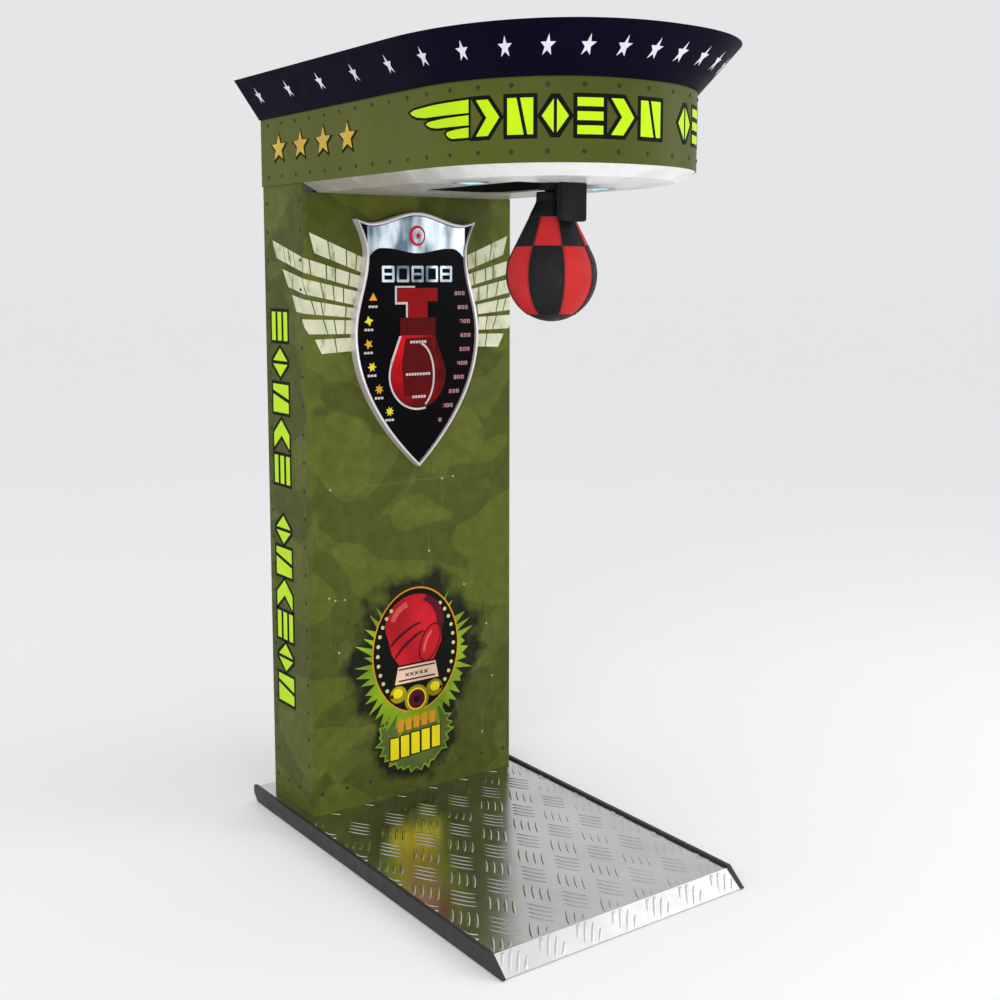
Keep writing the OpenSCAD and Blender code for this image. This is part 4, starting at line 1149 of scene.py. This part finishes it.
def build_scores():
    """Ten red tabs with white numbers, down the right edge."""
    tabs, numbers = [], []
    for k in range(10):
        z = SCORE_Z - SCORE_PITCH * k
        u = half_at(z) - 0.046
        number = 900 - 100 * k
        width = 0.042 if number else 0.016
        tabs.append(soft_box(u - width / 2, z - 0.0075, u + width / 2, z + 0.0075, 0.002, 3))
        numbers += digit_shapes(number, u - width / 2 + 0.0035, z - 0.0052, 0.0088, 0.0104, 0.0131)
    stand_for(on_shield("score_tabs", "red_dark", 0, 20, *tabs), "score_lamps")
    on_shield("score_numbers", "white_print", 20, 2, *numbers)


def build_ranks():
    """Six amber and yellow marks down the left edge, each with more points, over pale label bars."""
    marks, bars = [], []
    for k in range(6):
        z = RANK_Z - RANK_PITCH * k
        u = 0.047 - half_at(z)
        marks.append(star(u, z, 0.015, points=3 + k, waist=0.5, lean=0.2 * k))
        for j in range(3):
            left = u - 0.015 + 0.0105 * j
            bars.append(soft_box(left, z - 0.029, left + 0.0085, z - 0.022, 0.001, 2))
    stand_for(on_shield("rank_marks", "amber_lit", 0, 20, *marks[::2]), "rank_lamps")
    on_shield("rank_marks_yellow", "yellow_lit", 0, 20, *marks[1::2])
    on_shield("rank_labels", "white_print", 0, 6, *bars)


def build_bag_picture():
    """The lit picture of a hanging bag: bar, stem, collar and bulb, with pale outlines."""
    bulb = ellipse(0.0, BULB_Z, 0.098, count=40)
    cone = moved([(-0.092, 0.034), (0.092, 0.034), (0.060, 0.120), (-0.060, 0.120)], 0.0, BULB_Z)
    bar = box_outline(-0.070, BULB_Z + 0.220, 0.070, BULB_Z + 0.260)
    stem = box_outline(-0.034, BULB_Z + 0.172, 0.034, BULB_Z + 0.2198)
    collar = box_outline(-0.062, BULB_Z + 0.1202, 0.062, BULB_Z + 0.1718)
    core = moved([(-0.050, -0.060), (0.050, -0.060), (0.058, 0.040),
                  (0.046, 0.112), (-0.044, 0.112), (-0.058, 0.040)], 0.0, BULB_Z)
    stand_for(on_shield("bag_lens_bulb", "red_lit", 0, 28, bulb), "bag_lamp_lens")
    on_shield("bag_lens_cone", "red_lit", 2, 28, cone)
    on_shield("bag_lens_bar", "red_mid", 0, 30, bar, stem)
    on_shield("bag_lens_collar", "red_dark", 0, 30, collar)
    on_shield("bag_lens_core", "red_dark", 30, 2, core)
    build_picture_lines()


def build_picture_lines(band=0.006):
    """Pale outlines of the bag picture and three short label rows on it."""
    def arc_band(ru, rv, start, turn):
        outer = ellipse(0.0, BULB_Z, ru + band, rv + band, 24, start, turn)
        inner = ellipse(0.0, BULB_Z, ru, rv, 24, start, turn)
        return outer + inner[::-1]

    flank = [(-0.098, 0.040), (-0.090, 0.040), (-0.058, 0.119), (-0.066, 0.119)]
    stem = [(-0.080, 0.266), (-0.010, 0.266), (-0.010, 0.261), (-0.073, 0.261), (-0.073, 0.219),
            (-0.036, 0.219), (-0.036, 0.173), (-0.042, 0.173), (-0.042, 0.212), (-0.080, 0.212)]
    lines = [arc_band(0.098, 0.098, pi * 0.86, pi * 0.72), arc_band(0.052, 0.094, -pi * 0.36, pi * 0.80),
             moved(flank, 0.0, BULB_Z), moved(stem, 0.0, BULB_Z)]
    on_shield("picture_outline", "white_print", 32, 3, *lines)
    cell = soft_box(0.0, 0.0, 0.0074, 0.008, 0.0012, 2)
    labels = [moved(cell, u + 0.0098 * k, BULB_Z + v)
              for v, count, u in ((0.096, 6, -0.028), (0.000, 9, -0.044), (-0.068, 5, -0.022))
              for k in range(count)]
    on_shield("picture_labels", "white_print", 32, 3, *labels)


def build_title():
    """Five hollow silver score digits above the picture."""
    width, height, pitch, stroke, window = 0.0425, 0.048, 0.0508, 0.0075, 0.0125
    low, middle, high = TITLE_Z + stroke, TITLE_Z + height / 2, TITLE_Z + height - stroke
    shapes = []
    for k in range(5):
        u = -0.122 + pitch * k
        left, right = u + stroke, u + width - stroke
        outline = soft_box(u, TITLE_Z, u + width, TITLE_Z + height, 0.004, 4)
        if k % 2 == 0:
            holes = [box_outline(left, v, right, v + window) for v in (low, middle + stroke / 2 - 0.0005)]
        else:
            holes = [box_outline(left, low, right, high)]
        shapes.append([outline, *holes])
    laid("title_digits", shapes, on_display, "silver_print", thickness=0.0015)


def build_shield():
    build_shield_rim()
    refined("display_top_plate", 0.0006)
    plate_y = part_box("display_top_plate")[0].y

    def on_plate(u, v, lift):
        return Vector((u, plate_y - lift, v))

    badge_z = SHIELD_Z + 0.288
    ring = [ellipse(0.0, badge_z, 0.028, 0.030), ellipse(0.003, badge_z, 0.021, 0.023)]
    laid("plate_ring", [ring], on_plate, "badge_red", thickness=0.0008)
    laid("plate_star", [[star(0.004, badge_z, 0.013)]], on_plate, "badge_red", thickness=0.0008)
    build_title()
    build_bag_picture()
    build_scores()
    build_ranks()


build_shield()


# ---------- platform ----------

CELL_X = 0.0580   # half the lattice of the tread pattern across the platform
CELL_Y = 0.0885   # and along it
BARS_IN_CELL = 4
BAR_PITCH = 0.0225
BAR_L = 0.074
BAR_W = 0.0100
SMALLEST_BAR = 0.00006   # square metres of a bar that is still worth pressing
LATTICE_REACH = 2.0      # how far the pattern is followed, more than any rectangle needs


def tread_bar(u, v, along, length, width):
    """The oval outline of a bar, centred on a point."""
    across = Vector((-along.y, along.x))
    oval = ellipse(0, 0, length / 2, width / 2, 12)
    return [tuple(Vector((u, v)) + along * a + across * b) for a, b in oval]


def tread_bars(low, high):
    """Groups of bars in a basket weave, cut off at the edges of a rectangle."""
    diagonals = [Vector((CELL_X, CELL_Y)), Vector((CELL_X, -CELL_Y))]
    shapes = []
    reach = int(LATTICE_REACH / CELL_X)
    for i in range(-reach, reach):
        for j in range(-reach, reach):
            centre = Vector((CELL_X * i, CELL_Y * j))
            near = all(a - BAR_L < c < b + BAR_L for a, c, b in zip(low, centre, high))
            if (i + j) % 2 or not near:
                continue
            along = diagonals[i % 2].normalized()
            other = diagonals[1 - i % 2]
            for k in range(BARS_IN_CELL):
                spot = centre + other.normalized() * BAR_PITCH * (k + 0.5 - BARS_IN_CELL / 2)
                bar = clipped(tread_bar(*spot, along, BAR_L, BAR_W), low, high)
                if len(bar) > 3 and abs(area(bar)) > SMALLEST_BAR:
                    shapes.append(bar)
    return shapes


def raised_bars(name, outlines, place, look, height=0.0018):
    """Bars with a sloping flank and a flat top."""
    mesh = bmesh.new()
    for outline in outlines:
        middle = sum((Vector(p) for p in outline), Vector((0, 0))) / len(outline)
        rings = []
        for inset, lift in ((1.0, 0.0), (0.88, height * 0.55), (0.66, height * 0.88), (0.36, height)):
            points = [middle + (Vector(p) - middle) * inset for p in outline]
            rings.append([mesh.verts.new(place(p.x, p.y, lift)) for p in points])
        for a, b in zip(rings, rings[1:]):
            bridge(mesh, a, b)
        mesh.faces.new(rings[-1])
        mesh.faces.new(list(reversed(rings[0])))
    return new_piece(name, mesh, look, smooth=True)


def build_platform():
    margin = 0.006
    outlines = tread_bars((-RAIL_IN + margin, PLATFORM_Y + margin), (RAIL_IN - margin, FRONT_Y - margin))
    raised_bars("tread_bars", outlines, on_tread, "tread")
    foot_low, foot_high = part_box("front_ramp")
    slope = Vector((foot_high.y - foot_low.y, foot_high.z - foot_low.z))
    run = slope.length
    along = slope / run
    normal = Vector((-along.y, along.x))

    def on_ramp(u, v, lift):
        """v is the distance up the slope from its middle."""
        p = Vector((foot_low.y, foot_low.z)) + along * (run / 2 + v) + normal * lift
        return Vector((u, p.x, p.y))

    reach = run / 2 - 0.003
    outlines = tread_bars((-RAIL_IN + margin, -reach), (RAIL_IN - margin, reach))
    # the ramp's bars take the ramp's paler aluminium, which is painted light
    raised_bars("ramp_bars", outlines, on_ramp, "ramp")
    for node in ("side_rail_left", "side_rail_right"):
        refined(node, 0.0015)


build_platform()


# ---------- punch bag ----------

GORES = 8
COLUMNS = 10          # mesh columns in a gore
CONE = radians(26.7)  # half angle of the cone above the ball
NECK_R = 0.041
SEAM_DIP = 0.0022     # how far the seams lie inside the bag's full size
NECK_DIP = 0.0006     # the same for the neck
POCKET_R = 0.0375     # the arm's pocket in the neck
RING_Z = 1.717        # seam at which red and black change places
NECK_SEAM_Z = 1.792
CAP_Z = 1.543         # seam of the black cap at the bottom
PIPING_R = 0.0013
THREAD_R = 0.0004
STITCH_GAP = 0.0042   # from a seam to the stitches on both sides of it


def bag_profile(step=0.0075):
    """Radius and height down the middle of a gore, from the bottom to the neck's top edge."""
    ball = [(BAG_R * cos(a), BAG_Z + BAG_R * sin(a))
            for a in (-pi / 2 + (pi / 2 + CONE) * k / 40 for k in range(41))]
    touch = ball[-1]
    neck_z = touch[1] + (touch[0] - NECK_R) / tan(CONE)
    outline = [Vector(p) for p in (*ball, (NECK_R, neck_z), (NECK_R, bag_high.z))]
    walk = Walk(outline)
    count = round(walk.length / step)
    almost = 0.99999    # stops just short of the outline's end
    return [walk.point(walk.length * k / count * almost) for k in range(1, count + 1)]


def bag_mesh():
    """Gores of equal columns, closed by a pocket in the neck for the swing arm.

    Returns the mesh, its rows of vertices and the heights of the outer rows."""
    mesh = bmesh.new()
    around = GORES * COLUMNS
    angles = [2 * pi * (k / COLUMNS + 0.5) / GORES for k in range(around)]
    sizes = []
    for p in bag_profile():
        dip = SEAM_DIP if p.y < NECK_SEAM_Z else NECK_DIP
        sizes.append((max(p.x - dip, 0.001), p.y))
    heights = [z for _, z in sizes]
    sizes += [(POCKET_R, bag_high.z), (POCKET_R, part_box("swing_arm")[0].z - 0.0003)]
    pole = mesh.verts.new((0, BAG_Y, bag_low.z + SEAM_DIP))
    rows = [[mesh.verts.new((r * sin(a), BAG_Y - r * cos(a), z)) for a in angles] for r, z in sizes]
    for k in range(around):
        mesh.faces.new([pole, rows[0][(k + 1) % around], rows[0][k]])
    for low, high in zip(rows, rows[1:]):
        bridge(mesh, low, high)
    mesh.faces.new(rows[-1])
    return mesh, rows, heights


def nearest(heights, z):
    return min(range(len(heights)), key=lambda k: abs(heights[k] - z))


def puff(piece, held, frames=20, most=0.0055):
    """Inflates the free cloth between the held seams and keeps the settled shape.

    No point moves further than the most, in metres."""
    group = piece.vertex_groups.new(name="held")
    group.add(held, 1.0, "REPLACE")
    cloth = piece.modifiers.new("puff", "CLOTH").settings
    cloth.vertex_group_mass = "held"
    cloth.quality = 6
    cloth.mass = 0.4
    cloth.tension_stiffness = cloth.compression_stiffness = 40
    cloth.shear_stiffness = 20
    cloth.bending_stiffness = 2.0
    cloth.use_pressure = True
    cloth.uniform_pressure_force = 4.0
    cloth.effector_weights.gravity = 0.0
    for number in range(1, frames + 1):
        bpy.context.scene.frame_set(number)
    graph = bpy.context.evaluated_depsgraph_get()
    settled = [v.co.copy() for v in piece.evaluated_get(graph).to_mesh().vertices]
    piece.modifiers.clear()
    bpy.context.scene.frame_set(1)
    for vertex, end in zip(piece.data.vertices, settled):
        move = end - vertex.co
        vertex.co += move * min(1.0, most / max(move.length, 1e-9))


def colour_gores(mesh, heights):
    """Red and black panels change places at the ring seam. The neck and the cap are black."""
    cap, ring, neck = (heights[nearest(heights, z)] for z in (CAP_Z, RING_Z, NECK_SEAM_Z))
    for face in mesh.faces:
        centre = face.calc_center_median()
        turn = degrees(atan2(centre.x, BAG_Y - centre.y)) + 180 / GORES
        odd = int(turn // (360 / GORES)) % 2 == 1
        red = cap <= centre.z <= neck and odd == (centre.z > ring)
        face.material_index = 0 if red else 1


def tube_along(paths, radius, sides=6):
    """Round tubes through lists of points. A path that ends where it starts is closed."""
    mesh = bmesh.new()
    for path in paths:
        closed = (path[0] - path[-1]).length < 1e-6
        points = path[:-1] if closed else path
        count = len(points)
        rings = []
        for k, p in enumerate(points):
            before = points[k - 1] if closed or k else points[0]
            after = points[(k + 1) % count] if closed or k < count - 1 else points[-1]
            along = (after - before).normalized()
            out = Vector((p.x, p.y - BAG_Y, 0)).normalized()
            across = along.cross(out).normalized()
            out = across.cross(along)
            rings.append([mesh.verts.new(p + (out * cos(a) + across * sin(a)) * radius)
                          for a in (2 * pi * j / sides for j in range(sides))])
        for a, b in zip(rings, rings[1:] + (rings[:1] if closed else [])):
            bridge(mesh, a, b)
        if not closed:
            mesh.faces.new(list(reversed(rings[0])))
            mesh.faces.new(rings[-1])
    return mesh


def stitches(path, offset, pitch=0.0052, length=0.0034, raised=0.0009):
    """Short threads beside a seam path, moved sideways by the offset."""
    seam = Walk(path)
    made = []
    s = pitch
    while s < seam.length - pitch:
        k, share = seam.at(s)
        along = (path[k + 1] - path[k]).normalized()
        p = path[k].lerp(path[k + 1], share)
        out = Vector((p.x, p.y - BAG_Y, 0)).normalized()
        across = along.cross(out).normalized()
        centre = p + across * offset + across.cross(along) * raised
        made.append([centre - along * length / 2, centre + along * length / 2])
        s += pitch
    return made


def build_bag():
    mesh, rows, heights = bag_mesh()
    colour_gores(mesh, heights)
    mesh.verts.index_update()
    ring_rows = [nearest(heights, z) for z in (RING_Z, NECK_SEAM_Z, CAP_Z)]
    held = {v.index for row in rows[nearest(heights, NECK_SEAM_Z):] for v in row}
    held |= {v.index for k in ring_rows for v in rows[k]}
    held |= {rows[r][c].index for r in range(len(rows)) for c in range(0, GORES * COLUMNS, COLUMNS)}
    seams = [[rows[r][c].index for r in range(ring_rows[2], ring_rows[1] + 1)]
             for c in range(0, GORES * COLUMNS, COLUMNS)]
    hoops = [[v.index for v in rows[k]] for k in ring_rows]
    held |= {v.index for v in rows[0]} | {0}
    bag = new_piece("leather_bag", mesh, ["red_leather", "black_leather"], "bag_swing")
    puff(bag, sorted(held))
    spots = [v.co.copy() for v in bag.data.vertices]
    seam_paths = [[spots[k] for k in path] for path in seams]
    hoop_paths = [[spots[k] for k in hoop] + [spots[hoop[0]]] for hoop in hoops]
    for polygon in bag.data.polygons:
        polygon.use_smooth = True
    bag.modifiers.new("round", "SUBSURF").levels = 1
    bag.modifiers["round"].render_levels = 1
    stand_for(bag, "punch_bag")
    cords = tube_along(seam_paths + hoop_paths, PIPING_R)
    piping = new_piece("bag_piping", cords, "thread", "bag_swing", smooth=True)
    threads = []
    for path in seam_paths:
        for offset in (-STITCH_GAP, STITCH_GAP):
            threads += stitches(path, offset)
    sewing = new_piece("bag_stitches", tube_along(threads, THREAD_R, 5), "thread", "bag_swing")


build_bag()


# ---------- trims on the other visible CAD pieces ----------

EDGE_ROUNDING = {
    "front_ramp": 0.0006, "stop_block": 0.0025, "downlight_bezels": 0.0006, "coin_door_frame": 0.0010,
    "coin_door": 0.0008, "coin_reject_button": 0.0010, "service_door_hinges": 0.0006,
    "mains_inlet": 0.0006, "swing_arm": 0.0008,
}
for node, rounding in EDGE_ROUNDING.items():
    refined(node, rounding)


# ---------- room, light and camera ----------

def build_stage():
    g = Graph("pale_floor", Specular_IOR_Level=0.3)
    g.colour(g.mix(g.drift(1.4), (0.985, 0.985, 0.985), (0.995, 0.995, 0.995)))
    g.rough(0.7)
    bpy.ops.mesh.primitive_plane_add(size=160, location=(0, 0, 0))
    floor = bpy.context.object
    floor.name = "floor"
    floor.data.materials.append(g.material)


def area_light(name, place, aim, size, power):
    data = bpy.data.lights.new(name, "AREA")
    data.shape = "DISK"
    data.size = size
    data.energy = power
    light = bpy.data.objects.new(name, data)
    bpy.context.scene.collection.objects.link(light)
    light.location = place
    light.visible_camera = False
    light.rotation_euler = (Vector(aim) - Vector(place)).to_track_quat("-Z", "Y").to_euler()


def build_light():
    world = bpy.data.worlds.new("studio")
    bpy.context.scene.world = world
    world.use_nodes = True
    background = world.node_tree.nodes["Background"]
    background.inputs["Color"].default_value = (0.98, 0.99, 1.0, 1.0)
    background.inputs["Strength"].default_value = 0.80
    area_light("key", (-5.2, -4.4, 4.6), (0, 0, 1.1), 3.8, 95)
    area_light("fill", (3.4, -2.6, 2.6), (0, 0, 1.2), 3.0, 40)
    area_light("bounce", (-0.9, -3.6, 0.7), (0, -0.4, 1.9), 0.9, 24)
    bpy.context.scene.view_settings.view_transform = "Standard"


def build_camera():
    """The photograph's viewpoint, found by fitting the machine's straight edges."""
    data = bpy.data.cameras.new("view")
    data.sensor_width = 36.0
    data.lens = 47.35
    data.shift_x = 0.011
    data.shift_y = -0.0634
    camera = bpy.data.objects.new("view", data)
    bpy.context.scene.collection.objects.link(camera)
    camera.location = (-2.119, -2.930, 1.653)
    camera.rotation_euler = (radians(90 - 7.15), 0, radians(-35.65))
    bpy.context.scene.camera = camera


build_stage()
build_light()
build_camera()
